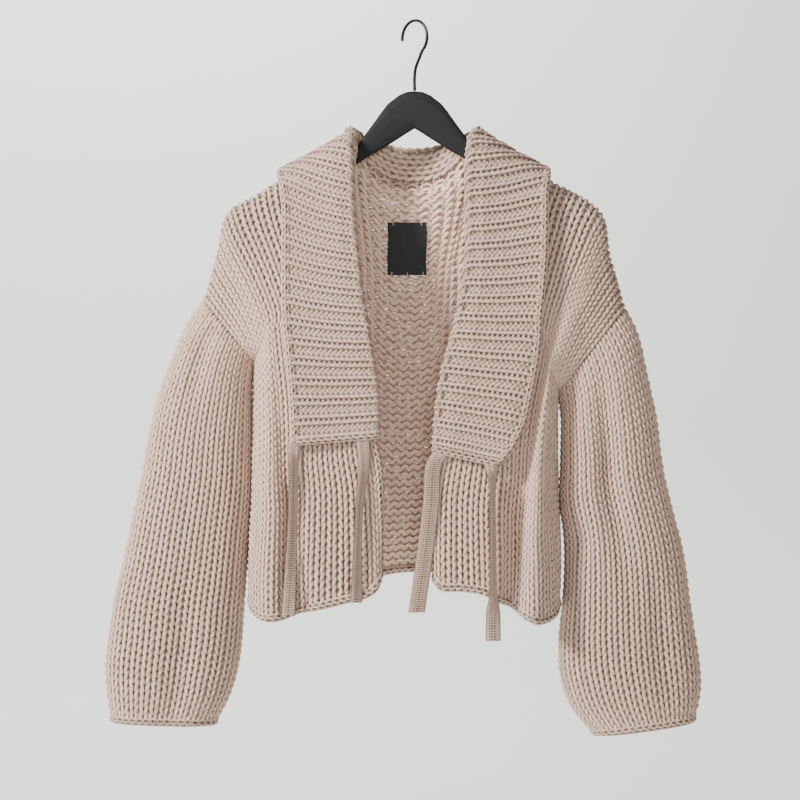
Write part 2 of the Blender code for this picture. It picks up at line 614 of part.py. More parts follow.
def main():
    for thing in list(bpy.data.objects):
        bpy.data.objects.remove(thing)
    collection = bpy.data.collections.new("cardigan_on_hanger")
    bpy.context.scene.collection.children.link(collection)
    knit = make_material("knit", (0.50, 0.40, 0.33), 0.9)
    collar_knit = make_material("collar_knit", (0.53, 0.43, 0.36), 0.9)
    tie_knit = make_material("tie_knit", (0.48, 0.38, 0.32), 0.9)
    label_satin = make_material("label_satin", (0.02, 0.02, 0.022), 0.5)
    hanger_black = make_material("hanger_black", (0.03, 0.03, 0.03), 0.6)
    hook_black = make_material("hook_black", (0.025, 0.025, 0.025), 0.35, 0.6)

    left, right = front_panel("left"), front_panel("right")
    pieces = {
        "front_left": (left, False, 1.0),
        "front_right": (right, False, -1.0),
        "back": (back_panel(left, right), False, 1.0),
        "sleeve_left": (sleeve("left"), True, 1.0),
        "sleeve_right": (sleeve("right"), True, -1.0),
    }
    facing = {"front_left": (1, -1), "front_right": (1, -1), "back": (1, 1)}
    for name, (grid, wrap, outward) in pieces.items():
        normals = face_normals(grid, wrap, 1.0)
        if wrap:
            middle = grid.mean(axis=1, keepdims=True)[:-1]
            points_out = np.sum(normals * (grid[:-1] - middle)) > 0
        else:
            axis, sign = facing[name]
            points_out = np.sum(normals[..., axis]) * sign > 0
        pieces[name] = (grid, wrap, 1.0 if points_out else -1.0)
    normals = shared_normals(pieces)

    seams = {
        "front_left": ((0, -1), (1, -1)),
        "front_right": ((0, -1), (1, -1)),
        "back": ((0, 0), (0, -1), (1, -1)),
    }
    inner_faces = {}
    for name, (grid, wrap, _) in pieces.items():
        shift = sleeve_shift(grid) if wrap else seam_shift(grid, normals[name], seams[name])
        outer = grid + shift
        inner = grid - normals[name] * WALL + shift
        inner_faces[name] = inner
        add_object(name, wall_mesh(name, outer, inner, wrap), knit, collection)

    outer, inner = collar_grids(pieces, normals)
    add_object("collar", wall_mesh("collar", outer, inner, False), collar_knit, collection)

    fronts = surface_tree([pieces["front_left"], pieces["front_right"]])
    fall = slice(5, None)
    ends = {"left": (outer[0, fall] + inner[0, fall]) / 2, "right": (outer[-1, fall] + inner[-1, fall]) / 2}
    for name in TIES:
        rings = tie_rings(name, fronts, ends[name.split("_")[1]])
        add_object(name, tube_mesh(name, rings), tie_knit, collection)
    front_face, back_face = label_grids(inner_faces["back"])
    add_object("label", wall_mesh("label", front_face, back_face, False), label_satin, collection)
    add_object("hanger_body", tube_mesh("hanger_body", hanger_rings()), hanger_black, collection)
    add_hook(collection, hook_black)


main()
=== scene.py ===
"""The look of a chunky knitted cardigan with a ribbed shawl collar and ties, on a hanger.

Each panel is worked out as the surface that the garment hangs in, with a thin cloth in the middle
of its wall.  Geometry Nodes then knit the yarn over that surface, one loop for each stitch.  Left
and right are as seen from the front, which faces -Y.  Tables are in millimetres, with the origin
at the seat of the hook, and lengths in the trees are in metres.
"""

import math

import bmesh
import bpy
import numpy as np
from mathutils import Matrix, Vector
from mathutils.bvhtree import BVHTree


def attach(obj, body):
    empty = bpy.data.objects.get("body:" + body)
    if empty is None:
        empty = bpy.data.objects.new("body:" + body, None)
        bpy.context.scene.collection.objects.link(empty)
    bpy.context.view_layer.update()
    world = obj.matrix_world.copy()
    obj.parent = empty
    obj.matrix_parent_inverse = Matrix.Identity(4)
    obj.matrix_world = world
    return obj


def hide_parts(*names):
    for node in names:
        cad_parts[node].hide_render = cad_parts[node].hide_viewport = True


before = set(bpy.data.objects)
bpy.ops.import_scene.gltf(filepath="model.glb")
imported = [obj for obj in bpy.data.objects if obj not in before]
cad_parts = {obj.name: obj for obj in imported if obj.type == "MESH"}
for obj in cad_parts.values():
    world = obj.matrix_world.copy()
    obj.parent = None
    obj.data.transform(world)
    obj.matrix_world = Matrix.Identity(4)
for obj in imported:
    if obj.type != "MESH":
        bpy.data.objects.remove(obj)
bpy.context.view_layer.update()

MILLIMETRE = 0.001
WALL = 6.0
COLLAR_WALL = 5.0
CLOTH_THICKNESS = 1.2       # the thin cloth that closes the gaps between the stitches
WALE = 12.6                 # width of a column of stitches
COURSE = 9.1                # height of a row of stitches
RIB_PITCH = 22.0            # a knit and a purl column of the collar
RIB_COURSE = 6.2

ARMPIT_HEIGHT = 0.64
SIDE_SEGMENTS = 26
HALF_ARMHOLE_SEGMENTS = 20
FRONT_SEGMENTS = 26
NECK_SEGMENTS = 20
SLEEVE_SEGMENTS = 48
TUBE_SQUARENESS = 2.3
SHOULDER_ROLL = 16.0
SIDE_ROLL = 42.0

# Outer outlines seen from the front: x, z.
SHOULDER = {
    "left": [(-79, -143), (-112, -161), (-145, -180), (-197, -211), (-219, -223),
             (-229, -238), (-234, -264), (-241, -294), (-253, -334)],
    "right": [(77, -140), (122, -166), (168, -193), (213, -218), (225, -229),
              (230, -246), (233, -275), (240, -300), (252, -343)],
}
SIDE = {
    "left": [(-198, -690), (-199, -646), (-196, -574), (-195, -502), (-194, -450), (-192, -407)],
    "right": [(173, -694), (175, -646), (172, -563), (171, -490), (171, -443)],
}
HEM = {
    "left": [(-40, -659), (-44, -671), (-53, -680), (-77, -687), (-109, -695), (-137, -701),
             (-157, -708), (-182, -708), (-193, -701), (-198, -690)],
    "right": [(23, -664), (27, -672), (53, -674), (86, -680), (99, -687), (115, -694),
              (130, -707), (152, -713), (167, -706), (173, -694)],
}
FRONT_EDGE = {
    "left": [(-40, -659), (-40, -578), (-43, -530), (-51, -494), (-52, -470), (-57, -412),
             (-66, -362), (-73, -313), (-78, -269), (-82, -220), (-83, -175), (-79, -143)],
    "right": [(23, -664), (22, -600), (23, -555), (31, -510), (34, -470), (43, -416),
              (52, -382), (60, -350), (67, -313), (71, -270), (71, -214), (72, -165), (77, -140)],
}
BACK_HEM = [(-198, -690), (-150, -692), (-100, -678), (-39, -661), (-4, -657), (30, -658),
            (90, -672), (140, -692), (173, -694)]
# The back neckline from one neck point to the other: x, y, z.
NECKLINE = [(-79, 0, -143), (-73, 13, -158), (-60, 24, -178), (-34, 33, -195), (0, 36, -200),
            (34, 33, -195), (58, 24, -176), (71, 13, -156), (77, 0, -140)]

# How far each face stands from the middle plane: height, front, back.
DEPTH = [(0.00, 62, 52), (0.30, 58, 48), (0.55, 50, 43), (0.75, 40, 36), (0.90, 28, 27), (1.00, 18, 18)]

# Soft folds: across, half width, push (+ outwards), height where it has faded out.
FOLDS = {
    "left": [(0.00, 0.06, -9, 0.32), (0.62, 0.09, -20, 0.60), (0.80, 0.11, 13, 0.80)],
    "right": [(0.00, 0.06, -7, 0.30), (0.57, 0.09, -20, 0.85), (0.76, 0.12, 14, 0.95)],
    "back": [(0.24, 0.07, 10, 0.60), (0.40, 0.06, -9, 0.50), (0.70, 0.08, 11, 0.65)],
}

# Sleeve rings from the armhole to the cuff: outer x, z, inner x, z, depth, middle y.
SLEEVE = {
    "left": [
        (-253, -334, -192, -407, 60, 0), (-267, -353, -195, -427, 70, 0),
        (-292, -407, -196, -460, 80, 0), (-312, -466, -195, -502, 82, 0),
        (-326, -539, -195, -564, 84, -1), (-338, -595, -199, -616, 85, -2),
        (-348, -644, -202, -661, 86, -3), (-360, -694, -205, -708, 86, -4),
        (-366, -737, -208, -749, 84, -4), (-370, -772, -213, -780, 80, -5),
        (-368, -804, -222, -808, 74, -6), (-363, -834, -238, -838, 66, -6),
    ],
    "right": [
        (252, -343, 171, -443, 62, 0), (264, -365, 175, -466, 72, 0),
        (279, -426, 176, -502, 80, 0), (288, -466, 175, -538, 82, 0),
        (299, -544, 174, -580, 84, -1), (309, -586, 179, -612, 84, -2),
        (320, -628, 180, -648, 86, -3), (330, -698, 177, -701, 86, -4),
        (336, -737, 173, -742, 85, -4), (341, -770, 174, -780, 82, -5),
        (342, -802, 186, -818, 76, -6), (335, -834, 213, -851, 68, -6),
    ],
}
# Troughs down a sleeve's front and back: across (-1 inner, 1 outer), half width, depth,
# the place where it is deepest from armhole 0 to cuff 1, half length.
TROUGHS = {
    "left": [(-0.15, 0.30, 8, 0.85, 0.25), (0.35, 0.25, 6, 0.10, 0.20)],
    "right": [(-0.05, 0.28, 15, 0.35, 0.34), (-0.75, 0.25, 9, 0.52, 0.07), (0.45, 0.25, 6, 0.80, 0.20)],
}

# The collar from its left lower end over the neck to its right lower end, at the apex of its
# fold and at its free edge: fold x, y, z, edge x, y, z.
COLLAR = [
    (-43, -46, -494, -139, -54, -503), (-42, -46, -460, -141, -50, -466),
    (-48, -44, -412, -146, -48, -408), (-57, -42, -362, -151, -46, -362),
    (-64, -40, -313, -152, -43, -318), (-69, -36, -269, -152, -40, -281),
    (-73, -30, -220, -152, -34, -247), (-74, -22, -172, -152, -26, -217),
    (-74, -13, -140, -153, -14, -198), (-74, 4, -127, -150, 8, -186),
    (-57, 25, -138, -118, 34, -208), (-34, 38, -148, -70, 50, -232),
    (0, 44, -152, 0, 54, -242),
    (34, 38, -148, 70, 50, -232), (57, 25, -138, 118, 34, -208),
    (75, 4, -127, 148, 8, -184), (66, -14, -139, 152, -14, -196),
    (62, -22, -176, 153, -26, -213), (62, -30, -224, 153, -34, -245),
    (62, -36, -273, 152, -40, -283), (58, -40, -313, 149, -43, -320),
    (51, -42, -350, 144, -46, -358), (44, -42, -382, 140, -48, -391),
    (34, -44, -416, 133, -50, -430), (27, -46, -456, 122, -52, -473),
    (24, -46, -486, 112, -54, -507), (23, -46, -511, 97, -56, -528),
]
COLLAR_ROLL = 6.2
COLLAR_CLEAR = 2.6
COLLAR_EDGE_GAP = 3.1
LAPEL_LIFT = 5.0
FALL_PLACES = (0.1, 0.2, 0.35, 0.5, 0.65, 0.8, 0.9, 1.0)
COLLAR_STATIONS = 200
SEAM_PLACES = 1200
OFF_THE_EDGE = 3.0          # a place this far past a cloth's edge has no cloth to lie on

# Ties from the collar down, a row each: x, z, degrees turned from flat, distance off the cloth.
TIES = {
    "tie_left_outer": (16.0, [(-142, -508, 0, 4), (-143, -530, 45, 2), (-144, -580, 50, 1),
                              (-146, -640, 35, 1), (-149, -708, 8, 1)]),
    "tie_left_inner": (16.0, [(-62, -502, 0, 4), (-60, -524, 20, 2), (-65, -575, 55, 1),
                              (-68, -640, 50, 1), (-69, -692, 30, 1)]),
    "tie_right_inner": (20.0, [(31, -516, 0, 4), (24, -526, 10, 3), (19, -576, 12, 2),
                               (12, -634, 10, 2), (2, -704, 14, 3)]),
    "tie_right_outer": (18.0, [(90, -532, 10, 4), (91, -552, 62, 2), (92, -620, 66, 1),
                               (92, -680, 62, 2), (92, -708, 20, 4), (92, -737, 8, 4)]),
}
TIE_THICKNESS = 2.6
TIE_SEGMENTS = 60
TIE_WALE = 3.4
TIE_COURSE = 2.7

GROUND_SPACING = 7.0        # between the points of the ground that a panel is knitted over
SELVEDGE_RADIUS = 3.8
SELVEDGE_COURSE = 8.2
NECK_BAND_COURSE = 11.0
COLLAR_SELVEDGE_RADIUS = 3.4
PANEL_STITCH = dict(Points_in_a_stitch=8, Sides=5, Yarn_radius=0.0029, Lean=0.27, Reach=0.80,
                    Loop_depth=0.0021, Tuck=0.0009, Set_back=WALL / 2 * MILLIMETRE, Unevenness=0.10)
COLLAR_STITCH = dict(Points_in_a_stitch=8, Sides=5, Yarn_radius=0.0029, Lean=0.23, Reach=0.85,
                     Loop_depth=0.0017, Tuck=0.0006, Set_back=(COLLAR_WALL / 2 - 0.8) * MILLIMETRE,
                     Ribbing=1.0, Rib_rise=0.0025, Rib_share=0.12, Unevenness=0.10)
NECK_STITCH = dict(Points_in_a_stitch=10, Sides=6, Yarn_radius=0.0036, Lean=0.24, Reach=0.85,
                   Loop_depth=0.0024, Tuck=0.0009, Set_back=-0.0010, Unevenness=0.12)
CHAIN_STITCH = dict(Points_in_a_stitch=6, Sides=4, Yarn_radius=0.0021, Lean=0.27, Reach=0.72,
                    Loop_depth=0.0012, Tuck=0.0006, Set_back=0.0, Unevenness=0.08)
# The ties show their purl side, so their loops' heads stand out.
TIE_STITCH = dict(Points_in_a_stitch=5, Sides=4, Yarn_radius=0.00085, Lean=0.12, Reach=0.55,
                  Loop_depth=-0.0007, Tuck=0.0002, Set_back=0.0, Unevenness=0.12)

LABEL_CENTRE = (-9, -271)
LABEL_SIZE = (47, 63)
LABEL_POINTS = (21, 29)
LABEL_THREADS = ((-17, 31), (17, 31), (-19, -31), (19, -31), (0, -31.5))
THREAD_SIDES = 8


def smooth_curve(table, places):
    """Points at places from 0 to 1 along one smooth curve through a table's rows."""
    rows = np.array(table, float)
    steps = np.linalg.norm(np.diff(rows[:, :3], axis=0), axis=1)
    at = np.concatenate(([0.0], np.cumsum(steps))) / steps.sum()
    slopes = np.gradient(rows, at, axis=0)
    places = np.asarray(places, float)
    part = np.clip(np.searchsorted(at, places, side="right") - 1, 0, len(at) - 2)
    length = (at[part + 1] - at[part])[:, None]
    t = (places - at[part])[:, None] / length
    start, end = rows[part], rows[part + 1]
    rise_start, rise_end = slopes[part] * length, slopes[part + 1] * length
    return ((2 * t**3 - 3 * t**2 + 1) * start + (t**3 - 2 * t**2 + t) * rise_start
            + (3 * t**2 - 2 * t**3) * end + (t**3 - t**2) * rise_end)


def unit(vectors):
    return vectors / np.maximum(np.linalg.norm(vectors, axis=-1, keepdims=True), 1e-9)


def bump(offset):
    """A soft hill, 1 at 0 and nothing past 2."""
    return np.exp(-2.0 * np.square(offset))


def rounded(distance, radius):
    """A quarter circle's rise, from 0 at the edge to 1 at the radius."""
    return np.sqrt(1 - np.square(1 - np.clip(distance / radius, 0, 1)))


armhole_turn = np.linspace(0, math.pi, HALF_ARMHOLE_SEGMENTS + 1)
up_side = np.linspace(0, ARMPIT_HEIGHT, SIDE_SEGMENTS + 1)[:-1]
up_armhole = ARMPIT_HEIGHT + (1 - ARMPIT_HEIGHT) * (1 - np.cos(armhole_turn)) / 2
UP = np.concatenate((up_side, up_armhole))
ACROSS = 1 - (1 - np.linspace(0, 1, FRONT_SEGMENTS + 1)) ** 1.35
SHOULDER_SHARE = 0.37
BACK_ACROSS = np.concatenate((
    SHOULDER_SHARE * (1 - ACROSS[::-1]),
    np.linspace(SHOULDER_SHARE, 1 - SHOULDER_SHARE, NECK_SEGMENTS + 1)[1:-1],
    1 - SHOULDER_SHARE * (1 - ACROSS),
))


def sleeve_rings(side, rings, turn):
    """Rings of a sleeve, each from its outer point over the front to the inner and the back."""
    rows = smooth_curve(SLEEVE[side], rings)
    c, s = np.cos(turn), np.sin(turn)
    c = np.sign(c) * np.abs(c) ** (2 / TUBE_SQUARENESS)
    s = np.sign(s) * np.abs(s) ** (2 / TUBE_SQUARENESS)
    outer_x, outer_z, inner_x, inner_z, depth, middle_y = (rows[:, [k]] for k in range(6))
    x = (outer_x + inner_x) / 2 + c * (outer_x - inner_x) / 2
    z = (outer_z + inner_z) / 2 + c * (outer_z - inner_z) / 2
    half = depth / 2 * np.ones_like(c)
    for across, width, deep, place, reach in TROUGHS[side]:
        along = bump((np.asarray(rings)[:, None] - place) / reach) * np.clip(rings[:, None] * 12, 0, 1)
        half = half - deep * bump((c - across) / width) * along
    y = middle_y - s * half
    return np.stack((x, y, z), axis=-1)


def armhole(side):
    """Front half of a sleeve's first ring, from the armpit up to the end of the shoulder."""
    return sleeve_rings(side, np.array([0.0]), armhole_turn[::-1])[0]


def coons(bottom, top, left, right, across, up):
    """Fills a patch between its four edges."""
    u, v = across[:, None, None], up[None, :, None]
    corners = ((1 - u) * (1 - v) * bottom[0] + u * (1 - v) * bottom[-1]
               + (1 - u) * v * top[0] + u * v * top[-1])
    return ((1 - v) * bottom[:, None] + v * top[:, None]
            + (1 - u) * left[None] + u * right[None] - corners)


def depth_of(across, up, column, folds):
    """Distance of a face from the middle plane, with its soft folds."""
    rows = np.array(DEPTH)
    depth = np.interp(up, rows[:, 0], rows[:, column])[None, :] * np.ones((len(across), 1))
    for place, width, push, faded in folds:
        fade = np.clip(1 - up / faded, 0, 1)
        depth = depth + push * bump((across[:, None] - place) / width) * fade[None, :]
    return depth


def side_edge(side):
    """The side seam and the front half of the armhole, from the hem to the shoulder's end."""
    places = UP[:SIDE_SEGMENTS] / ARMPIT_HEIGHT
    seam = smooth_curve(SIDE[side], places)
    seam = np.stack((seam[:, 0], np.zeros(len(seam)), seam[:, 1]), axis=-1)
    return np.concatenate((seam, armhole(side)))


def flat(points):
    return points[:, [0, 2]]


def front_panel(side):
    """Outer face of one front, from its opening to its side and from the hem to the shoulder."""
    top = smooth_curve(SHOULDER[side], ACROSS)
    edge = side_edge(side)
    places = coons(smooth_curve(HEM[side], ACROSS), top, smooth_curve(FRONT_EDGE[side], UP),
                   flat(edge), ACROSS, UP)
    below = np.linalg.norm(places - places[:, -1:], axis=-1)
    inside = np.linalg.norm(places - places[-1:], axis=-1)
    y = -depth_of(ACROSS, UP, 1, FOLDS[side]) * rounded(below, SHOULDER_ROLL)
    y = edge[None, :, 1] + (y - edge[None, :, 1]) * rounded(inside, SIDE_ROLL)
    points = np.stack((places[..., 0], y, places[..., 1]), axis=-1)
    points[-1] = edge
    return points


def back_panel(left, right):
    """Outer face of the back, from the left side to the right."""
    neck = smooth_curve(NECKLINE, np.linspace(0, 1, NECK_SEGMENTS + 1))
    top = np.concatenate((left[::-1, -1], neck[1:-1], right[:, -1]))
    to_back = np.array((1, -1, 1))
    left_edge, right_edge = left[-1] * to_back, right[-1] * to_back
    places = coons(smooth_curve(BACK_HEM, BACK_ACROSS), flat(top), flat(left_edge),
                   flat(right_edge), BACK_ACROSS, UP)
    below = np.linalg.norm(places - places[:, -1:], axis=-1)
    neck_roll = np.where(top[:, 1] > 1, 60.0, SHOULDER_ROLL)[:, None]
    y = depth_of(BACK_ACROSS, UP, 2, FOLDS["back"])
    y = top[:, None, 1] + (y - top[:, None, 1]) * rounded(below, neck_roll)
    for edge, end in ((left_edge, places[:1]), (right_edge, places[-1:])):
        inside = np.linalg.norm(places - end, axis=-1)
        y = edge[None, :, 1] + (y - edge[None, :, 1]) * rounded(inside, SIDE_ROLL)
    points = np.stack((places[..., 0], y, places[..., 1]), axis=-1)
    points[:, -1] = top
    points[0], points[-1] = left_edge, right_edge
    return points


def sleeve(side):
    """Outer face of a sleeve, its rings closed by a last column on top of the first."""
    turn = np.linspace(-math.pi, math.pi, 4 * HALF_ARMHOLE_SEGMENTS + 1)
    return sleeve_rings(side, np.linspace(0, 1, SLEEVE_SEGMENTS + 1), turn)


def grid_normals(grid, outward):
    """Area-weighted normal at each point of a grid, turned the way the piece faces."""
    faces = np.cross(grid[1:, 1:] - grid[:-1, :-1], grid[1:, :-1] - grid[:-1, 1:]) * outward
    normals = np.zeros_like(grid)
    for i in (slice(None, -1), slice(1, None)):
        for j in (slice(None, -1), slice(1, None)):
            normals[i, j] += faces
    return normals


def shared_normals(pieces):
    """Normals at every point, the same on both sides of a seam."""
    total, found = {}, {}
    for name, (grid, outward) in pieces.items():
        for point, normal in zip(grid.reshape(-1, 3), grid_normals(grid, outward).reshape(-1, 3)):
            key = tuple(np.round(point, 1))
            total[key] = total.get(key, 0) + normal
    for name, (grid, outward) in pieces.items():
        keys = [tuple(np.round(point, 1)) for point in grid.reshape(-1, 3)]
        found[name] = unit(np.array([total[key] for key in keys]).reshape(grid.shape))
    return found


def resampled(rows, count):
    """Each row of a grid at evenly spaced places along it, with whatever columns it carries."""
    out = []
    for row in rows:
        at = np.concatenate(([0.0], np.cumsum(np.linalg.norm(np.diff(row[:, :3], axis=0), axis=1))))
        places = np.linspace(0, at[-1], count)
        out.append(np.stack([np.interp(places, at, column) for column in row.T], axis=1))
    return np.array(out)


def evened(grid, normals, across, up):
    """A grid and its normals with evenly spaced points both ways."""
    both = np.concatenate((grid, normals), axis=-1)
    both = resampled(both.transpose(1, 0, 2), across).transpose(1, 0, 2)
    both = resampled(both, up)
    return both[..., :3], unit(both[..., 3:])


def coarser(grid):
    """Every second point of a grid both ways, with its far edges kept."""
    rows, columns = (np.unique(np.append(np.arange(0, count, 2), count - 1))
                     for count in grid.shape[:2])
    return grid[rows][:, columns]


def quads_between(rows, columns):
    for i in range(rows - 1):
        for j in range(columns - 1):
            yield (i * columns + j, (i + 1) * columns + j,
                   (i + 1) * columns + j + 1, i * columns + j + 1)


def surface_tree(grids):
    """A search tree over some outer faces, facing outwards."""
    points, faces = [], []
    for grid, outward in grids:
        start = len(points)
        points += [Vector(p) for p in grid.reshape(-1, 3)]
        for quad in quads_between(*grid.shape[:2]):
            corners = [start + k for k in quad]
            faces.append(corners[::-1] if outward > 0 else corners)
    return BVHTree.FromPolygons(points, faces)


def length_of(path):
    return float(np.linalg.norm(np.diff(path, axis=0), axis=1).sum())


def away_from(border, inner):
    """Directions out of a cloth at its border, square to the border's own run."""
    along = unit(np.gradient(border, axis=0))
    outwards = border - inner
    return unit(outwards - np.sum(outwards * along, axis=1, keepdims=True) * along)


def neck_seam(pieces, normals):
    """The edge that the collar is sewn to, from one hem over the neck to the other."""
    points, facing, away = [], [], []
    left, right, back = (pieces[name][0] for name in ("front_left", "front_right", "back"))
    neck = slice(FRONT_SEGMENTS + 1, FRONT_SEGMENTS + NECK_SEGMENTS)
    rows = (
        (left[0], left[1], normals["front_left"][0]),
        (back[neck, -1], back[neck, -2], normals["back"][neck, -1]),
        (right[0][::-1], right[1][::-1], normals["front_right"][0][::-1]),
    )
    for border, inner, normal in rows:
        points.append(border)
        facing.append(normal)
        away.append(away_from(border, inner))
    table = np.concatenate([np.concatenate(group) for group in (points, facing, away)], axis=1)
    return resampled(table[None], SEAM_PLACES)[0]


def laid_on(body, place, lift, only_clear=False):
    """A place of the collar's outer face moved along the cloth's normal until it lies on the cloth."""
    nearest, facing, _, _ = body.find_nearest(Vector(place))
    facing = np.array(facing)
    height = float(np.dot(place - np.array(nearest), facing))
    wanted = COLLAR_WALL + COLLAR_CLEAR + lift
    if only_clear and height > wanted:
        return place
    return place + facing * (wanted - height)


def off_the_edge(body, place):
    """Whether a place is past the cloth's edge."""
    nearest, facing, _, _ = body.find_nearest(Vector(place))
    offset, facing = place - np.array(nearest), np.array(facing)
    return np.linalg.norm(offset - np.dot(offset, facing) * facing) > OFF_THE_EDGE


def fall_point(body, start, edge, share):
    """A place of the collar's fall, lying on the cloth and lifting towards its free edge."""
    return laid_on(body, start + (edge - start) * share, LAPEL_LIFT * max(share**2, 0.3))


def collar_face(pieces, normals):
    """Outer face of the collar and its normals: stations along it, points from sewn to free edge."""
    seam = neck_seam(pieces, normals)
    rows = np.array(COLLAR, float)
    middle = (rows[:, :3] + rows[:, 3:]) / 2
    table = np.concatenate((middle, rows), axis=1)
    lines = smooth_curve(table, np.linspace(0, 1, COLLAR_STATIONS + 1))[:, 3:]
    body = surface_tree([pieces[name] for name in ("front_left", "back", "front_right")])
    sections = []
    for fold, edge in zip(lines[:, :3], lines[:, 3:]):
        nearest = seam[np.argmin(np.linalg.norm(seam[:, :3] - fold, axis=1))]
        point, normal, away = nearest[:3], unit(nearest[3:6]), unit(nearest[6:9])
        sewn = point - normal * (WALL - 0.4) + away * COLLAR_EDGE_GAP
        fold = fold.copy()
        if point[1] < -1:
            fold[1] = point[1] + 0.2
        crest = -unit(unit(edge - fold) + unit(sewn - fold))
        outward = unit(normal - np.dot(normal, crest) * crest)
        centre = fold - crest * COLLAR_ROLL
        section, hanging = [sewn], [sewn]
        for degrees in (-90, -60, -30, 0, 30, 60, 90):
            turn = math.radians(degrees)
            place = centre + COLLAR_ROLL * (crest * math.cos(turn) + outward * math.sin(turn))
            section.append(place if degrees < 0 else laid_on(body, place, 0, only_clear=True))
            hanging.append(place if off_the_edge(body, place) else section[-1])
        section += [fall_point(body, section[-1], edge, share) for share in FALL_PLACES]
        # Over the neck seam the fall hangs free, straight down to where it first lies on the cloth.
        start = hanging[-1]
        lies = [not off_the_edge(body, start + (edge - start) * share) for share in FALL_PLACES]
        first = lies.index(True) if True in lies else len(lies) - 1
        lying = [fall_point(body, start, edge, share) for share in FALL_PLACES[first:]]
        hanging += [start + (lying[0] - start) * share / FALL_PLACES[first]
                    for share in FALL_PLACES[:first]] + lying
        behind = min(max((point[1] - 5) / 15, 0), 1)
        sections.append([a + (b - a) * behind for a, b in zip(section, hanging)])
    face = np.array(sections)
    for _ in range(3):
        face[1:-1, 1:] = (face[:-2, 1:] + 2 * face[1:-1, 1:] + face[2:, 1:]) / 4
    facing = unit(grid_normals(face, 1.0))
    if np.mean(facing[:8, -1, 1]) > 0:
        facing = -facing
    return face, facing


# Meshes and objects


def piece(name, mesh, *materials):
    thing = bpy.data.objects.new(name, mesh)
    for material in materials:
        thing.data.materials.append(material)
    bpy.context.scene.collection.objects.link(thing)
    return thing


def mesh_from(name, points, faces):
    mesh = bpy.data.meshes.new(name)
    mesh.from_pydata((np.asarray(points).reshape(-1, 3) * MILLIMETRE).tolist(), [], faces)
    body = bmesh.new()
    body.from_mesh(mesh)
    bmesh.ops.recalc_face_normals(body, faces=body.faces)
    body.to_mesh(mesh)
    body.free()
    mesh.shade_smooth()
    mesh.set_sharp_from_angle(angle=math.radians(50))
    return mesh


def thin_cloth(name, grid, normals, material, depth, tube=False, thickness=CLOTH_THICKNESS):
    """A closed thin cloth at a depth behind an outer face."""
    if tube:
        grid, normals = grid[:, :-1], normals[:, :-1]
    outer = grid - normals * (depth - thickness / 2)
    inner = grid - normals * (depth + thickness / 2)
    rows, columns = grid.shape[:2]
    shift = rows * columns
    faces = list(quads_between(rows, columns))
    if tube:
        last = columns - 1
        faces += [(i * columns + last, (i + 1) * columns + last, (i + 1) * columns, i * columns)
                  for i in range(rows - 1)]
        loops = [[i * columns + j for j in list(range(columns)) + [0]] for i in (0, rows - 1)]
    else:
        around = list(range(columns))
        around += [i * columns + columns - 1 for i in range(1, rows)]
        around += [(rows - 1) * columns + j for j in range(columns - 2, -1, -1)]
        around += [i * columns for i in range(rows - 2, -1, -1)]
        loops = [around]
    faces += [tuple(reversed([k + shift for k in face])) for face in faces]
    for loop in loops:
        faces += [(a, b, b + shift, a + shift) for a, b in zip(loop, loop[1:])]
    points = np.concatenate((outer.reshape(-1, 3), inner.reshape(-1, 3)))
    return piece(name, mesh_from(name, points, faces), material)


def knitting_ground(name, grid, normals):
    """An open sheet whose UV runs across the wales and up the courses, to be knitted over."""
    rows, columns = grid.shape[:2]
    mesh = bpy.data.meshes.new(name)
    faces = list(quads_between(rows, columns))
    mesh.from_pydata((grid.reshape(-1, 3) * MILLIMETRE).tolist(), [], faces)
    facing = mesh.attributes.new("facing", "FLOAT_VECTOR", "POINT")
    facing.data.foreach_set("vector", normals.reshape(-1).astype(np.float32))
    u, v = np.meshgrid(np.linspace(0, 1, rows), np.linspace(0, 1, columns), indexing="ij")
    at = np.stack((u, v), axis=-1).reshape(-1, 2)
    corners = np.empty(len(mesh.loops), dtype=np.int32)
    mesh.loops.foreach_get("vertex_index", corners)
    layer = mesh.uv_layers.new(name="stitches")
    layer.data.foreach_set("uv", at[corners].reshape(-1).astype(np.float32))
    return mesh


# Node graphs


class Wire:
    """A socket's value, with the arithmetic that adds its Math nodes."""

    def __init__(self, graph, socket):
        self.graph, self.socket = graph, socket

    def _math(self, operation, *values):
        return self.graph.node("ShaderNodeMath", {"operation": operation}, dict(enumerate(values)))

    def __add__(self, other):
        return self._math("ADD", self, other)

    def __sub__(self, other):
        return self._math("SUBTRACT", self, other)

    def __rsub__(self, other):
        return self._math("SUBTRACT", other, self)

    def __mul__(self, other):
        return self._math("MULTIPLY", self, other)

    def __truediv__(self, other):
        return self._math("DIVIDE", self, other)

    __radd__, __rmul__ = __add__, __mul__

    def floor(self):
        return self._math("FLOOR", self)

    def sin(self):
        return self._math("SINE", self)

    def cos(self):
        return self._math("COSINE", self)

    def squared(self):
        """Its square, so that a yarn is alike seen from inside and outside the cloth."""
        return self._math("MULTIPLY", self, self)

    def held(self):
        """Kept between 0 and 1."""
        return self._math("MINIMUM", self._math("MAXIMUM", self, 0.0), 1.0)


class Graph:
    """A node tree that is filled by one method."""

    def __init__(self, tree):
        self.tree = tree

    def fill(self, node, inputs):
        """Links or sets some inputs of a node."""
        for key, value in inputs.items():
            if isinstance(value, Wire):
                self.tree.links.new(value.socket, node.inputs[key])
            else:
                node.inputs[key].default_value = value

    def add(self, kind, settings=None, inputs=None):
        node = self.tree.nodes.new(kind)
        for name, value in (settings or {}).items():
            setattr(node, name, value)
        self.fill(node, inputs or {})
        return node

    def node(self, kind, settings=None, inputs=None, output=0):
        return Wire(self, self.add(kind, settings, inputs).outputs[output])


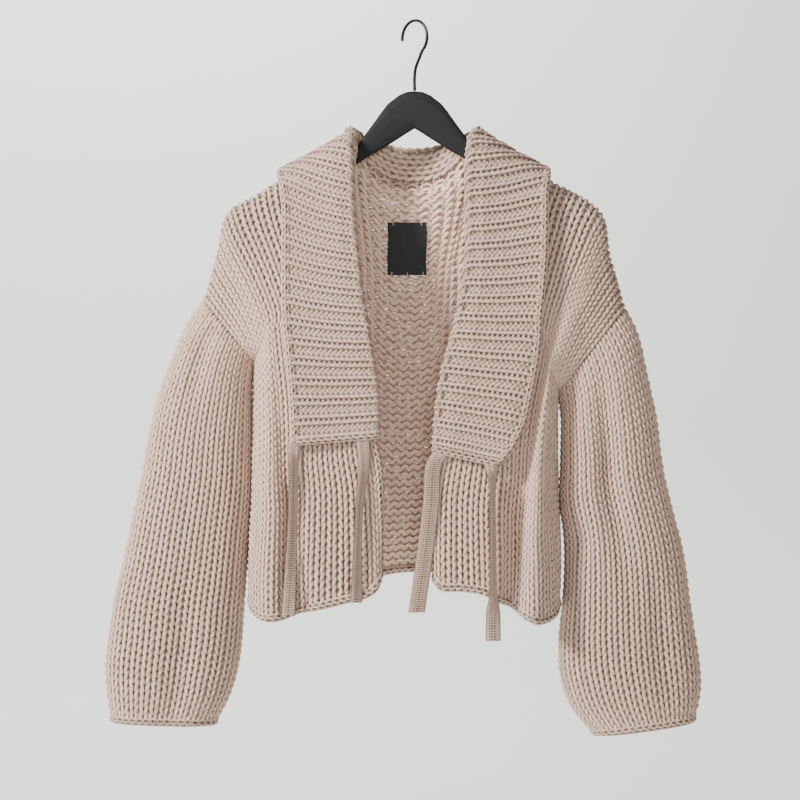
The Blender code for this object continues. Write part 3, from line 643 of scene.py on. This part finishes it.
# The knitting tree.  Lengths are in metres, and a loop's shape is in shares of its stitch.
KNIT_INPUTS = [
    ("Ground", "NodeSocketGeometry", None),
    ("Wales", "NodeSocketInt", 12),
    ("Courses", "NodeSocketInt", 40),
    ("Points in a stitch", "NodeSocketInt", 8),
    ("Sides", "NodeSocketInt", 5),
    ("Yarn radius", "NodeSocketFloat", 0.003),
    ("Lean", "NodeSocketFloat", 0.2),
    ("Reach", "NodeSocketFloat", 0.8),
    ("Loop depth", "NodeSocketFloat", 0.0016),
    ("Tuck", "NodeSocketFloat", 0.0008),
    ("Set back", "NodeSocketFloat", 0.003),
    ("Ribbing", "NodeSocketFloat", 0.0),
    ("Rib rise", "NodeSocketFloat", 0.0),
    ("Rib share", "NodeSocketFloat", 0.0),
    ("Unevenness", "NodeSocketFloat", 0.06),
    ("Seed", "NodeSocketFloat", 1.0),
    ("Yarn", "NodeSocketMaterial", None),
]


def knitting_tree():
    """Rows of loops over a ground: knit stitches, or ribs where every other wale is purled."""
    tree = bpy.data.node_groups.new("knitting", "GeometryNodeTree")
    for name, kind, value in KNIT_INPUTS:
        socket = tree.interface.new_socket(name, in_out="INPUT", socket_type=kind)
        if value is not None:
            socket.default_value = value
    tree.interface.new_socket("Knitting", in_out="OUTPUT", socket_type="NodeSocketGeometry")
    graph = Graph(tree)
    entry = graph.add("NodeGroupInput")
    given = {name: Wire(graph, entry.outputs[name]) for name, _, _ in KNIT_INPUTS}
    wales, courses, each = given["Wales"], given["Courses"], given["Points in a stitch"]

    in_course = wales * each + 1
    index = graph.node("GeometryNodeInputIndex")
    course = (index / in_course + 0.0001).floor()
    place = index - course * in_course
    along = place / each                    # in stitches from the course's start
    phase = along * (2 * math.pi)

    def unevenness(seed, x, y):
        where = graph.node("ShaderNodeCombineXYZ", None, {0: x, 1: y, 2: given["Seed"]})
        noise = graph.node("ShaderNodeTexNoise", {"noise_dimensions": "4D"},
                           {"Vector": where, "W": float(seed), "Scale": 0.55, "Detail": 1.0})
        return (noise - 0.5) * given["Unevenness"]

    def stored(geometry, name, value, kind="FLOAT"):
        return graph.node("GeometryNodeStoreNamedAttribute", {"data_type": kind, "domain": "POINT"},
                          {"Geometry": geometry, "Name": name, "Value": value})

    # A loop's head is at a whole number of stitches, at its top, and its sinker halfway between.
    ribbed = given["Ribbing"] * (along * math.pi).cos() + (1.0 - given["Ribbing"])
    bend = (along * math.pi).sin() * given["Rib share"]
    u = (along + (phase * 2.0).sin() * given["Lean"] + bend + unevenness(1, along, course)) / wales
    v = (course + 0.5 + phase.cos() * given["Reach"] + unevenness(2, along, course * 1.3)) / courses
    legs = given["Loop depth"] * (phase * 2.0).cos() + given["Tuck"] * phase.cos()
    rise = (given["Rib rise"] * ribbed * given["Ribbing"] - ribbed * legs - given["Set back"]
            + unevenness(3, along * 1.7, course) * given["Yarn radius"] * 2.0)
    at = graph.node("ShaderNodeCombineXYZ", None, {0: u.held(), 1: v.held(), 2: 0.0})

    stitches, facing = (
        graph.node("GeometryNodeInputNamedAttribute", {"data_type": "FLOAT_VECTOR"}, {"Name": name})
        for name in ("stitches", "facing"))
    here = graph.node("GeometryNodeInputPosition")
    sampled = {}
    for key, value in (("point", here), ("normal", facing)):
        sampled[key] = graph.node(
            "GeometryNodeSampleUVSurface", {"data_type": "FLOAT_VECTOR"},
            {"Mesh": given["Ground"], "Value": value, "UV Map": stitches, "Sample UV": at})
    raised = graph.node("ShaderNodeVectorMath", {"operation": "SCALE"},
                        {0: sampled["normal"], "Scale": rise})
    where = graph.node("ShaderNodeVectorMath", {"operation": "ADD"},
                       {0: sampled["point"], 1: raised})

    dots = graph.node("GeometryNodePoints", None, {"Count": in_course * courses})
    dots = stored(dots, "strand", along + course * wales)
    dots = stored(dots, "cloth_normal", sampled["normal"], "FLOAT_VECTOR")
    dots = graph.node("GeometryNodeSetPosition", None, {"Geometry": dots, "Position": where})
    rows = graph.node("GeometryNodePointsToCurves", None,
                      {"Points": dots, "Curve Group ID": course, "Weight": place})
    profile = graph.node("GeometryNodeCurvePrimitiveCircle", None,
                         {"Resolution": given["Sides"], "Radius": given["Yarn radius"]})
    turn = graph.node("GeometryNodeInputIndex") * (2 * math.pi) / given["Sides"]
    for name, value in (("round_c", turn.cos()), ("round_s", turn.sin())):
        profile = stored(profile, name, value)
    yarn = graph.node("GeometryNodeCurveToMesh", None,
                      {"Curve": rows, "Profile Curve": profile, "Fill Caps": True})
    yarn = graph.node("GeometryNodeSetShadeSmooth", None, {"Geometry": yarn})
    yarn = graph.node("GeometryNodeRealizeInstances", None, {"Geometry": yarn})
    yarn = graph.node("GeometryNodeSetMaterial", None, {"Geometry": yarn, "Material": given["Yarn"]})
    leave = graph.add("NodeGroupOutput")
    tree.links.new(yarn.socket, leave.inputs[0])
    return tree


knitting = knitting_tree()


def knitted(name, grid, normals, yarn, **inputs):
    """A plain mesh of yarn, knitted over a grid of points."""
    thing = piece(name, knitting_ground(name + "_ground", grid, normals))
    modifier = thing.modifiers.new("knitting", "NODES")
    modifier.node_group = knitting
    sockets = {item.name: item.identifier for item in knitting.interface.items_tree
               if item.in_out == "INPUT"}
    for key, value in inputs.items():
        modifier[sockets[key.replace("_", " ").capitalize()]] = value
    modifier[sockets["Yarn"]] = yarn
    depsgraph = bpy.context.evaluated_depsgraph_get()
    made = bpy.data.meshes.new_from_object(thing.evaluated_get(depsgraph), depsgraph=depsgraph)
    thing.modifiers.clear()
    ground, thing.data = thing.data, made
    bpy.data.meshes.remove(ground)
    made.name = name
    if not made.materials:
        made.materials.append(yarn)
    return thing


# Materials


def new_material(name):
    material = bpy.data.materials.new(name)
    material.use_nodes = True
    return material, Graph(material.node_tree), material.node_tree.nodes["Principled BSDF"]


def object_place(graph):
    return graph.node("ShaderNodeTexCoord", output=3)


def facing_of(graph):
    return graph.node("ShaderNodeNewGeometry", output=1)


def axis(graph, vector, number):
    return graph.node("ShaderNodeSeparateXYZ", None, {0: vector}, output=number)


def stored_value(graph, name, output=2):
    return graph.node("ShaderNodeAttribute", {"attribute_name": name}, output=output)


def bumped(graph, strength, distance, height):
    return graph.node("ShaderNodeBump", None,
                      {"Strength": strength, "Distance": distance, "Height": height})


def scaled(colour, factor):
    return tuple(min(1.0, c * factor) for c in colour) + (1.0,)


def mixed(graph, share, first, second, blend="MIX"):
    return graph.node("ShaderNodeMix", {"data_type": "RGBA", "blend_type": blend},
                      {0: share, 6: first, 7: second}, output=2)


def noise(graph, where, scale, detail=2.0, rough=0.5):
    return graph.node("ShaderNodeTexNoise", None,
                      {"Vector": where, "Scale": scale, "Detail": detail, "Roughness": rough})


def wool(name, colour, knit=True, deep=0.85, lit=0.0):
    """Soft heathered wool: a twisted yarn with paler and redder fibres in it.

    The inner face is painted lighter by the share given in lit, as painted light standing in for
    daylight through the cloth. Knitted yarn also carries painted shade on its flanks, as strong as
    deep, and in the grooves between its plies.
    """
    material, graph, shader = new_material(name)
    where = object_place(graph)
    heather = noise(graph, where, 900.0, 2.0, 0.6)
    stitch = noise(graph, where, 95.0, 2.0)
    wide = noise(graph, where, 9.0, 2.0)
    # The darker tone serves both the heather's darker fibres and the painted shade in the ply grooves.
    dark, pale = scaled(colour, 0.72), scaled(colour, 1.22)
    rosy = (colour[0] * 1.04, colour[1] * 0.93, colour[2] * 0.92, 1.0)
    tone = mixed(graph, ((heather - 0.32) * 2.6).held(), dark, pale)
    tone = mixed(graph, 0.45, (*colour, 1.0), tone)
    tone = mixed(graph, ((stitch - 0.45) * 2.2).held(), tone, mixed(graph, 0.6, tone, rosy))
    tone = mixed(graph, ((wide - 0.4) * 1.2).held(), tone, mixed(graph, 0.25, tone, pale))
    relief = noise(graph, where, 1500.0, 3.0, 0.7) * 0.5 + heather * 0.5
    if knit:
        # Painted shade: yarn is painted darker on its flanks, where it turns down between its
        # neighbours and shade falls.
        flank = graph.node("ShaderNodeVectorMath", {"operation": "DOT_PRODUCT"}, {
            0: facing_of(graph), 1: stored_value(graph, "cloth_normal", 1)}, output=1)
        shade = ((0.90 - flank.squared()) * 1.5).held() * deep
        # Painted light: the inner face is painted lighter and its painted flank shade weaker.
        if lit:
            inner = (flank * -1.5).held()
            shade = shade * (1.0 - inner * lit)
            tone = mixed(graph, inner * lit, tone, scaled(colour, 1.45))
        tone = mixed(graph, shade, tone, scaled(colour, 0.24))
        along, c, s = (stored_value(graph, key) for key in ("strand", "round_c", "round_s"))
        twist = along * (2 * math.pi * 2.5)
        ply = (c * c - s * s) * twist.cos() - (s * c * 2.0) * twist.sin()
        relief = relief + ply * 0.55
        # Painted shade in the grooves between the plies.
        tone = mixed(graph, ((ply * -1.0 - 0.35) * 0.5).held(), tone, dark)
    elif lit:
        # Painted light: the cloth's inner face is painted lighter.
        inner = (axis(graph, facing_of(graph), 1) * -1.5).held()
        tone = mixed(graph, inner * lit, tone, scaled(colour, 2.3))
    graph.fill(shader, {"Base Color": tone, "Normal": bumped(graph, 0.55, 0.0009, relief),
                        "Roughness": 0.92, "Sheen Weight": 0.18, "Sheen Roughness": 0.45,
                        "Specular IOR Level": 0.2})
    return material


yarn_wool = wool("chunky_wool", (0.60, 0.415, 0.315))
collar_wool = wool("collar_wool", (0.565, 0.39, 0.295))
# Painted light: the back's yarn is painted lighter on its inner face.
back_wool = wool("wool_painted_light_inside", (0.60, 0.415, 0.315), lit=0.8)
# Painted shade and painted light: the sheet behind the back's stitches is darker than the yarn, painted
# lighter on its inner face and given painted glowing specks.
back_gap_shade_and_glow_wool = wool("wool_painted_shade_and_glow", (0.24, 0.165, 0.125), knit=False, lit=0.9)
# Painted shade: sheets darker than the yarn, seen in the gaps between the stitches.
gap_painted_shade_wool = wool("wool_between_stitches_painted_shade", (0.13, 0.085, 0.062), knit=False)
collar_gap_painted_shade_wool = wool("wool_between_collar_stitches_painted_shade", (0.24, 0.16, 0.12), knit=False)
tie_wool = wool("fine_wool", (0.64, 0.45, 0.345), deep=0.35)


def paint_glowing_specks(material):
    """Painted glowing specks on the upper back's gap sheet: an emission that stands in for daylight
    seen through the gaps, only from inside and fewer further down.
    """
    graph = Graph(material.node_tree)
    where = object_place(graph)
    across, height = axis(graph, where, 0), axis(graph, where, 2)
    specks = noise(graph, where, 190.0, 0.0)
    near_edge = ((across * -1.0 - 0.03) * 22.0).held() * 0.06
    high = ((height + 0.42) * 5.0).held() * 0.14 + near_edge
    below_seam = ((height * -1.0 - 0.198) * 60.0).held()
    inner = (axis(graph, facing_of(graph), 1) * -2.0).held()
    light = ((specks - 0.62 + high) * 14.0).held() * inner * below_seam
    glow = mixed(graph, light, (0.0, 0.0, 0.0, 1.0), (0.86, 0.82, 0.76, 1.0))
    graph.fill(material.node_tree.nodes["Principled BSDF"],
               {"Emission Color": glow, "Emission Strength": 1.0})


# Painted glowing specks on the back's gap sheet.
paint_glowing_specks(back_gap_shade_and_glow_wool)


def matte_black(name, colour, roughness, grain_scale, grain, metallic=0.0):
    material, graph, shader = new_material(name)
    where = object_place(graph)
    speckle = noise(graph, where, grain_scale, 3.0, 0.6)
    smear = noise(graph, where, 25.0, 3.0)
    tone = mixed(graph, ((speckle - 0.35) * 2.0).held(), scaled(colour, 1.0), scaled(colour, 1.5))
    graph.fill(shader, {"Base Color": tone, "Roughness": smear * 0.14 + roughness - 0.07,
                        "Normal": bumped(graph, grain, 0.0002, speckle), "Metallic": metallic,
                        "Specular IOR Level": 0.22})
    return material


hanger_black = matte_black("hanger_matte_black", (0.0085, 0.0085, 0.0092), 0.72, 1400.0, 0.25)
hook_black = matte_black("hook_black_steel", (0.012, 0.012, 0.013), 0.36, 2500.0, 0.1, 0.7)


def satin(name):
    material, graph, shader = new_material(name)
    where = object_place(graph)
    across, up = axis(graph, where, 0), axis(graph, where, 2)
    turn = 2 * math.pi
    weave = (across * (turn / 0.0006)).sin() * 0.5 + ((across + up) * (turn / 0.0022)).sin() * 0.5
    cloud = noise(graph, where, 60.0, 3.0)
    tone = mixed(graph, cloud, (0.012, 0.012, 0.014, 1.0), (0.024, 0.024, 0.027, 1.0))
    graph.fill(shader, {"Base Color": tone, "Roughness": cloud * 0.2 + 0.55,
                        "Normal": bumped(graph, 0.4, 0.0002, weave), "Specular IOR Level": 0.25})
    return material


label_satin = satin("label_black_satin")

# The garment's surface
left, right = front_panel("left"), front_panel("right")
faces_out = {
    "front_left": (left, 1.0),
    "front_right": (right, -1.0),
    "back": (back_panel(left, right), 1.0),
    "sleeve_left": (sleeve("left"), 1.0),
    "sleeve_right": (sleeve("right"), -1.0),
}
# A panel's outer face looks along this axis, with this sign; a sleeve's looks away from its middle.
facing_side = {"front_left": (1, -1), "front_right": (1, -1), "back": (1, 1)}
for name, (grid, outward) in faces_out.items():
    normals = grid_normals(grid, 1.0)
    if name in facing_side:
        number, sign = facing_side[name]
        points_out = np.sum(normals[..., number]) * sign > 0
    else:
        points_out = np.sum(normals * (grid - grid.mean(axis=1, keepdims=True))) > 0
    faces_out[name] = (grid, 1.0 if points_out else -1.0)
normals_at = shared_normals(faces_out)


def edge_chain(name, border, inner, normals, yarn, seed, radius=SELVEDGE_RADIUS, set_back=WALL / 2):
    """The chain of cast-off stitches that finishes an edge, rolled from its outer face to its inner."""
    away = away_from(border, inner)
    length = length_of(border)
    both = np.concatenate((border, normals, away), axis=-1)[None]
    both = resampled(both, max(8, int(length / 4)))[0]
    path, normals, away = both[:, :3], unit(both[:, 3:6]), unit(both[:, 6:])
    turns = np.radians(np.linspace(-60.0, 240.0, 15))[:, None, None]
    sweep = normals * np.cos(turns) + away * np.sin(turns)
    grid = path - normals * set_back + sweep * radius
    return knitted(name, grid, sweep, yarn, Wales=3, Seed=seed,
                   Courses=max(4, round(length_of(path) / SELVEDGE_COURSE)), **CHAIN_STITCH)


def flat_area(grid):
    """Area of a grid in square metres."""
    diagonals = np.cross(grid[1:, 1:] - grid[:-1, :-1], grid[:-1, 1:] - grid[1:, :-1])
    return float(np.linalg.norm(diagonals, axis=-1).sum() / 2) * MILLIMETRE**2


def cut_of(grid):
    """Width, length and area of a panel's flat cut, in metres."""
    width = max(length_of(grid[:, k]) for k in range(grid.shape[1])) * MILLIMETRE
    length = max(length_of(row) for row in grid) * MILLIMETRE
    return width, length, flat_area(grid)


def dressed(name, cloth, others, cut):
    """Attaches a cloth and its yarn to the root body and hides the CAD node that they stand for."""
    for thing in [cloth] + others:
        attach(thing, "root")
    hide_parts(name)


SEEDS = {"front_left": 1.0, "front_right": 2.0, "back": 3.0, "sleeve_left": 4.0, "sleeve_right": 6.0}
for name, (grid, outward) in faces_out.items():
    normals = normals_at[name]
    tube = name.startswith("sleeve")
    if tube:
        # Across the wales first, and up from the cuff.
        grid, normals = grid[::-1].transpose(1, 0, 2), normals[::-1].transpose(1, 0, 2)
    across, up = (int(length_of(line) / GROUND_SPACING) + 2
                  for line in (grid[:, 0], grid[len(grid) // 2]))
    even, facing = evened(grid, normals, across, up)
    wales = round(float(np.mean([length_of(even[:, k]) for k in range(even.shape[1])])) / WALE)
    courses = round(float(np.mean([length_of(row) for row in even])) / COURSE)
    thin, thin_facing = coarser(even), coarser(facing)
    if tube:
        thin, thin_facing = thin.transpose(1, 0, 2), thin_facing.transpose(1, 0, 2)
    # The cloth under the yarn carries painted shade; the back's also carries painted light and painted
    # glowing specks on its inner face.
    cloth_wool, wool_over_it = (back_gap_shade_and_glow_wool, back_wool) if name == "back" else (gap_painted_shade_wool, yarn_wool)
    cloth = thin_cloth(name + "_cloth", thin, thin_facing, cloth_wool, WALL / 2, tube)
    seed = SEEDS[name]
    others = [knitted(name + "_yarn", even, facing, wool_over_it, Wales=wales, Courses=courses,
                      Seed=seed, **PANEL_STITCH),
              edge_chain(name + "_hem", even[:, 0], even[:, 1], facing[:, 0], yarn_wool, seed + 10)]
    if name.startswith("front"):
        others.append(edge_chain(name + "_selvedge", even[0], even[1], facing[0], yarn_wool, seed + 20))
    rests = ["hanger_body"] if name in ("front_left", "front_right", "back") else ["back"]
    dressed(name, cloth, others, cut_of(even))

# The collar, ribbed across its width
face, facing = collar_face(faces_out, normals_at)
even, facing = evened(face, facing, COLLAR_STATIONS + 1, 30)
rows = np.array(COLLAR, float)
ribs = round(length_of((rows[:, :3] + rows[:, 3:]) / 2) / RIB_PITCH)
width = float(np.mean([length_of(row) for row in even]))
# The collar's cloth carries painted shade in the gaps between its stitches.
collar_cloth = thin_cloth("collar_cloth", coarser(even), coarser(facing), collar_gap_painted_shade_wool,
                          COLLAR_WALL / 2)
collar_parts = [knitted("collar_yarn", even, facing, collar_wool, Wales=2 * ribs + 1,
                        Courses=round(width / RIB_COURSE), Seed=7.0, **COLLAR_STITCH)]
collar_edges = (("free", even[:, -1], even[:, -2], facing[:, -1], 30.0),
                ("sewn", even[:, 0], even[:, 1], facing[:, 0], 31.0),
                ("left_end", even[0], even[1], facing[0], 32.0),
                ("right_end", even[-1], even[-2], facing[-1], 33.0))
for key, border, inner, side, seed in collar_edges:
    collar_parts.append(edge_chain("collar_" + key, border, inner, side, collar_wool, seed,
                                   COLLAR_SELVEDGE_RADIUS, COLLAR_WALL / 2))
# Behind the neck the standing part shows wales that run along it, over a plain band.
stations = np.nonzero(even[:, 8, 1] > 22)[0]
stand = int(np.argmax(even[stations[len(stations) // 2], :, 2])) + 1
band, band_facing = even[stations][:, 1:stand], facing[stations][:, 1:stand]
collar_parts.insert(1, knitted(
    "neck_band_yarn", band.transpose(1, 0, 2), band_facing.transpose(1, 0, 2), collar_wool, Wales=3,
    Courses=round(length_of(band[:, 2]) / NECK_BAND_COURSE), Seed=8.0, **NECK_STITCH))
dressed("collar", collar_cloth, collar_parts, cut_of(even))


# The ties


def tie_line(name, body, collar_end):
    """Middle points and turn of a tie, from the collar's lower end down the cloth."""
    width, table = TIES[name]
    rows = np.array(table, float)
    along = np.concatenate((rows[:, :2], rows[:, 2:]), axis=1)
    end = collar_end[np.argsort(collar_end[:, 0])]
    reach = along[0, 0] + width / 2 * np.array((-1, 0, 1))
    along[0, 1] = np.min(np.interp(reach, end[:, 0], end[:, 2]))
    stations = smooth_curve(along, np.linspace(0, 1, TIE_SEGMENTS + 1))
    depth = []
    for x, z, degrees, off in stations:
        turn = math.radians(degrees)
        reach = [x + width / 2 * math.cos(turn) * k for k in (-1, 0, 1)]
        hits = [body.ray_cast(Vector((at, -500, z)), Vector((0, 1, 0)))[0] for at in reach]
        found = [hit[1] for hit in hits if hit is not None]
        thick = width / 2 * math.sin(turn) + TIE_THICKNESS / 2
        depth.append((min(found) if found else np.nan) - thick - off)
    depth = np.array(depth)
    missing = np.isnan(depth)
    depth[missing] = depth[~missing][-1] if missing[-1] else np.min(depth[~missing])
    for _ in range(8):
        depth = np.convolve(np.pad(depth, 1, mode="edge"), (0.25, 0.5, 0.25), mode="valid")
    start = np.interp(along[0, 0], end[:, 0], end[:, 1])
    blend = np.clip(np.linspace(0, TIE_SEGMENTS / 5, TIE_SEGMENTS + 1), 0, 1)
    depth = start + (depth - start) * blend * blend * (3 - 2 * blend)
    return width, stations, depth


fronts = surface_tree([faces_out["front_left"], faces_out["front_right"]])
ends = {"left": even[0, 12:] - facing[0, 12:] * COLLAR_WALL / 2,
        "right": even[-1, 12:] - facing[-1, 12:] * COLLAR_WALL / 2}
for name in TIES:
    width, stations, depth = tie_line(name, fronts, ends[name.split("_")[1]])
    turn = np.radians(stations[:, 2])
    middle = np.stack((stations[:, 0], depth, stations[:, 1]), axis=-1)
    wide = np.stack((np.cos(turn), np.sin(turn), 0 * turn), axis=-1)
    thick = np.stack((np.sin(turn), -np.cos(turn), 0 * turn), axis=-1)
    grid = np.array([middle + wide * (width / 2 * share) + thick * (TIE_THICKNESS / 2)
                     for share in np.linspace(-1, 1, 7)])
    normals = np.array([thick] * 7)
    # The strip's cloth carries painted shade.
    cloth = thin_cloth(name + "_cloth", grid, normals, gap_painted_shade_wool, TIE_THICKNESS / 2, thickness=0.8)
    # The yarn goes round the flat strip, up from its free end.
    loop, out = [], []
    for angle in np.linspace(-math.pi, math.pi, 33):
        c, s = math.cos(angle), math.sin(angle)
        reach = (width / 2 - 1.2) * np.sign(c) * abs(c) ** 0.7
        loop.append((middle + wide * reach + thick * (s * 0.7))[::-1])
        out.append(unit(wide * c**3 + thick * s)[::-1])
    loop, out = np.array(loop), np.array(out)
    yarn = knitted(name + "_yarn", loop, out, tie_wool, Seed=40.0 + len(name),
                   Wales=round(length_of(loop[:, 0]) / TIE_WALE),
                   Courses=round(length_of(loop[0]) / TIE_COURSE), **TIE_STITCH)
    dressed(name, cloth, [yarn], cut_of(grid))


# The label, bare, and the stitches that hold its corners


def label_place(x, z):
    """A place on the back's inner face, clear of its loops."""
    y = back_face.ray_cast(Vector((x, -500, z)), Vector((0, 1, 0)))[0][1] - WALL - 2.6
    return np.array((x, y, z))


back_face = surface_tree([faces_out["back"]])
width, height = LABEL_SIZE
grid = np.array([[label_place(LABEL_CENTRE[0] + x + 0.5 * math.sin(z / 9), LABEL_CENTRE[1] + z)
                  for z in np.linspace(-height / 2, height / 2, LABEL_POINTS[1])]
                 for x in np.linspace(-width / 2, width / 2, LABEL_POINTS[0])])
hills = [np.sin(np.linspace(0, math.pi, count)) for count in LABEL_POINTS]
puff = hills[0][:, None] * hills[1][None, :]
grid[..., 1] -= 1.4 * puff ** 0.7
label = thin_cloth("label_face", grid, np.zeros_like(grid) + (0, -1, 0), label_satin, 0.0,
                   thickness=0.9)
stitches = []
for x, z in LABEL_THREADS:
    run = [label_place(LABEL_CENTRE[0] + x + 0.6 * k, LABEL_CENTRE[1] + z + 3.2 * k * np.sign(-z))
           + (0, -1.6 * (1 - k * k) - 0.2, 0) for k in np.linspace(-1, 1, 9)]
    stitches.append(np.array(run))


def thread(name, runs, radius, material):
    """Short round threads along runs of points, in one mesh."""
    points, faces = [], []
    for run in runs:
        along = unit(np.gradient(run, axis=0))
        side = unit(np.cross(along, (0.3, 1.0, 0.1)))
        up = np.cross(along, side)
        start = len(points)
        for place, a, b in zip(run, side, up):
            points += [place + radius * (a * math.cos(t) + b * math.sin(t))
                       for t in np.linspace(0, 2 * math.pi, THREAD_SIDES + 1)[:-1]]
        for ring in range(start, len(points) - THREAD_SIDES, THREAD_SIDES):
            for j in range(THREAD_SIDES):
                beside = (j + 1) % THREAD_SIDES
                faces.append((ring + j, ring + beside,
                              ring + THREAD_SIDES + beside, ring + THREAD_SIDES + j))
        faces += [tuple(range(start, start + THREAD_SIDES)),
                  tuple(range(len(points) - THREAD_SIDES, len(points)))]
    return piece(name, mesh_from(name, points, faces), material)


label_stitches = thread("label_stitches", stitches, 0.6, tie_wool)
for thing in (label, label_stitches):
    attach(thing, "root")
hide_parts("label")
width * MILLIMETRE

# CAD pieces that keep their shape
for node, material in (("hanger_body", hanger_black), ("hanger_hook", hook_black)):
    thing = bpy.data.objects[node]
    for slot in thing.material_slots:
        slot.material = material

# Camera, room and light
camera = bpy.data.cameras.new("camera")
camera.lens = 135.0
camera.sensor_width = 36.0
camera_object = bpy.data.objects.new("camera", camera)
camera_object.location = (-0.0176, -3.6, -0.4536)
camera_object.rotation_euler = (math.radians(90), 0, 0)
bpy.context.scene.collection.objects.link(camera_object)
bpy.context.scene.camera = camera_object


def room():
    """A pale floor that curves up into a pale wall."""
    profile = [(-6.0, -1.35), (4.0, -1.35)]
    profile += [(4.0 + 0.8 * math.sin(a), -0.55 - 0.8 * math.cos(a))
                for a in np.radians(np.linspace(10, 90, 9))]
    profile += [(4.8, 4.0)]
    points = [(x, y, z) for y, z in profile for x in (-6.0, 6.0)]
    faces = [(2 * k, 2 * k + 1, 2 * k + 3, 2 * k + 2) for k in range(len(profile) - 1)]
    mesh = bpy.data.meshes.new("room")
    mesh.from_pydata(points, [], faces)
    mesh.shade_smooth()
    material, graph, shader = new_material("room_pale")
    cloud = noise(graph, object_place(graph), 1.2, 2.0)
    tone = mixed(graph, cloud, (0.84, 0.845, 0.82, 1.0), (0.87, 0.875, 0.85, 1.0))
    graph.fill(shader, {"Base Color": tone, "Roughness": 0.95})
    return piece("room", mesh, material)


room()


def lamp(name, place, aim, size, power, colour=(1.0, 1.0, 1.0)):
    light = bpy.data.lights.new(name, "AREA")
    light.shape, light.size, light.energy, light.color = "SQUARE", size, power, colour
    thing = bpy.data.objects.new(name, light)
    thing.location = place
    direction = Vector(aim) - Vector(place)
    thing.rotation_euler = direction.to_track_quat("-Z", "Y").to_euler()
    bpy.context.scene.collection.objects.link(thing)


lamp("key", (-2.9, -2.0, 1.4), (0, 0, -0.42), 0.6, 380.0)
lamp("fill", (0.3, -3.7, 0.3), (0, 0, -0.40), 0.9, 55.0)
lamp("wall", (-0.8, 3.6, 2.2), (-0.3, 4.8, -1.3), 2.0, 150.0)
world = bpy.data.worlds.new("studio")
world.use_nodes = True
world.node_tree.nodes["Background"].inputs["Color"].default_value = (1.0, 1.0, 0.985, 1.0)
world.node_tree.nodes["Background"].inputs["Strength"].default_value = 0.33
bpy.context.scene.world = world
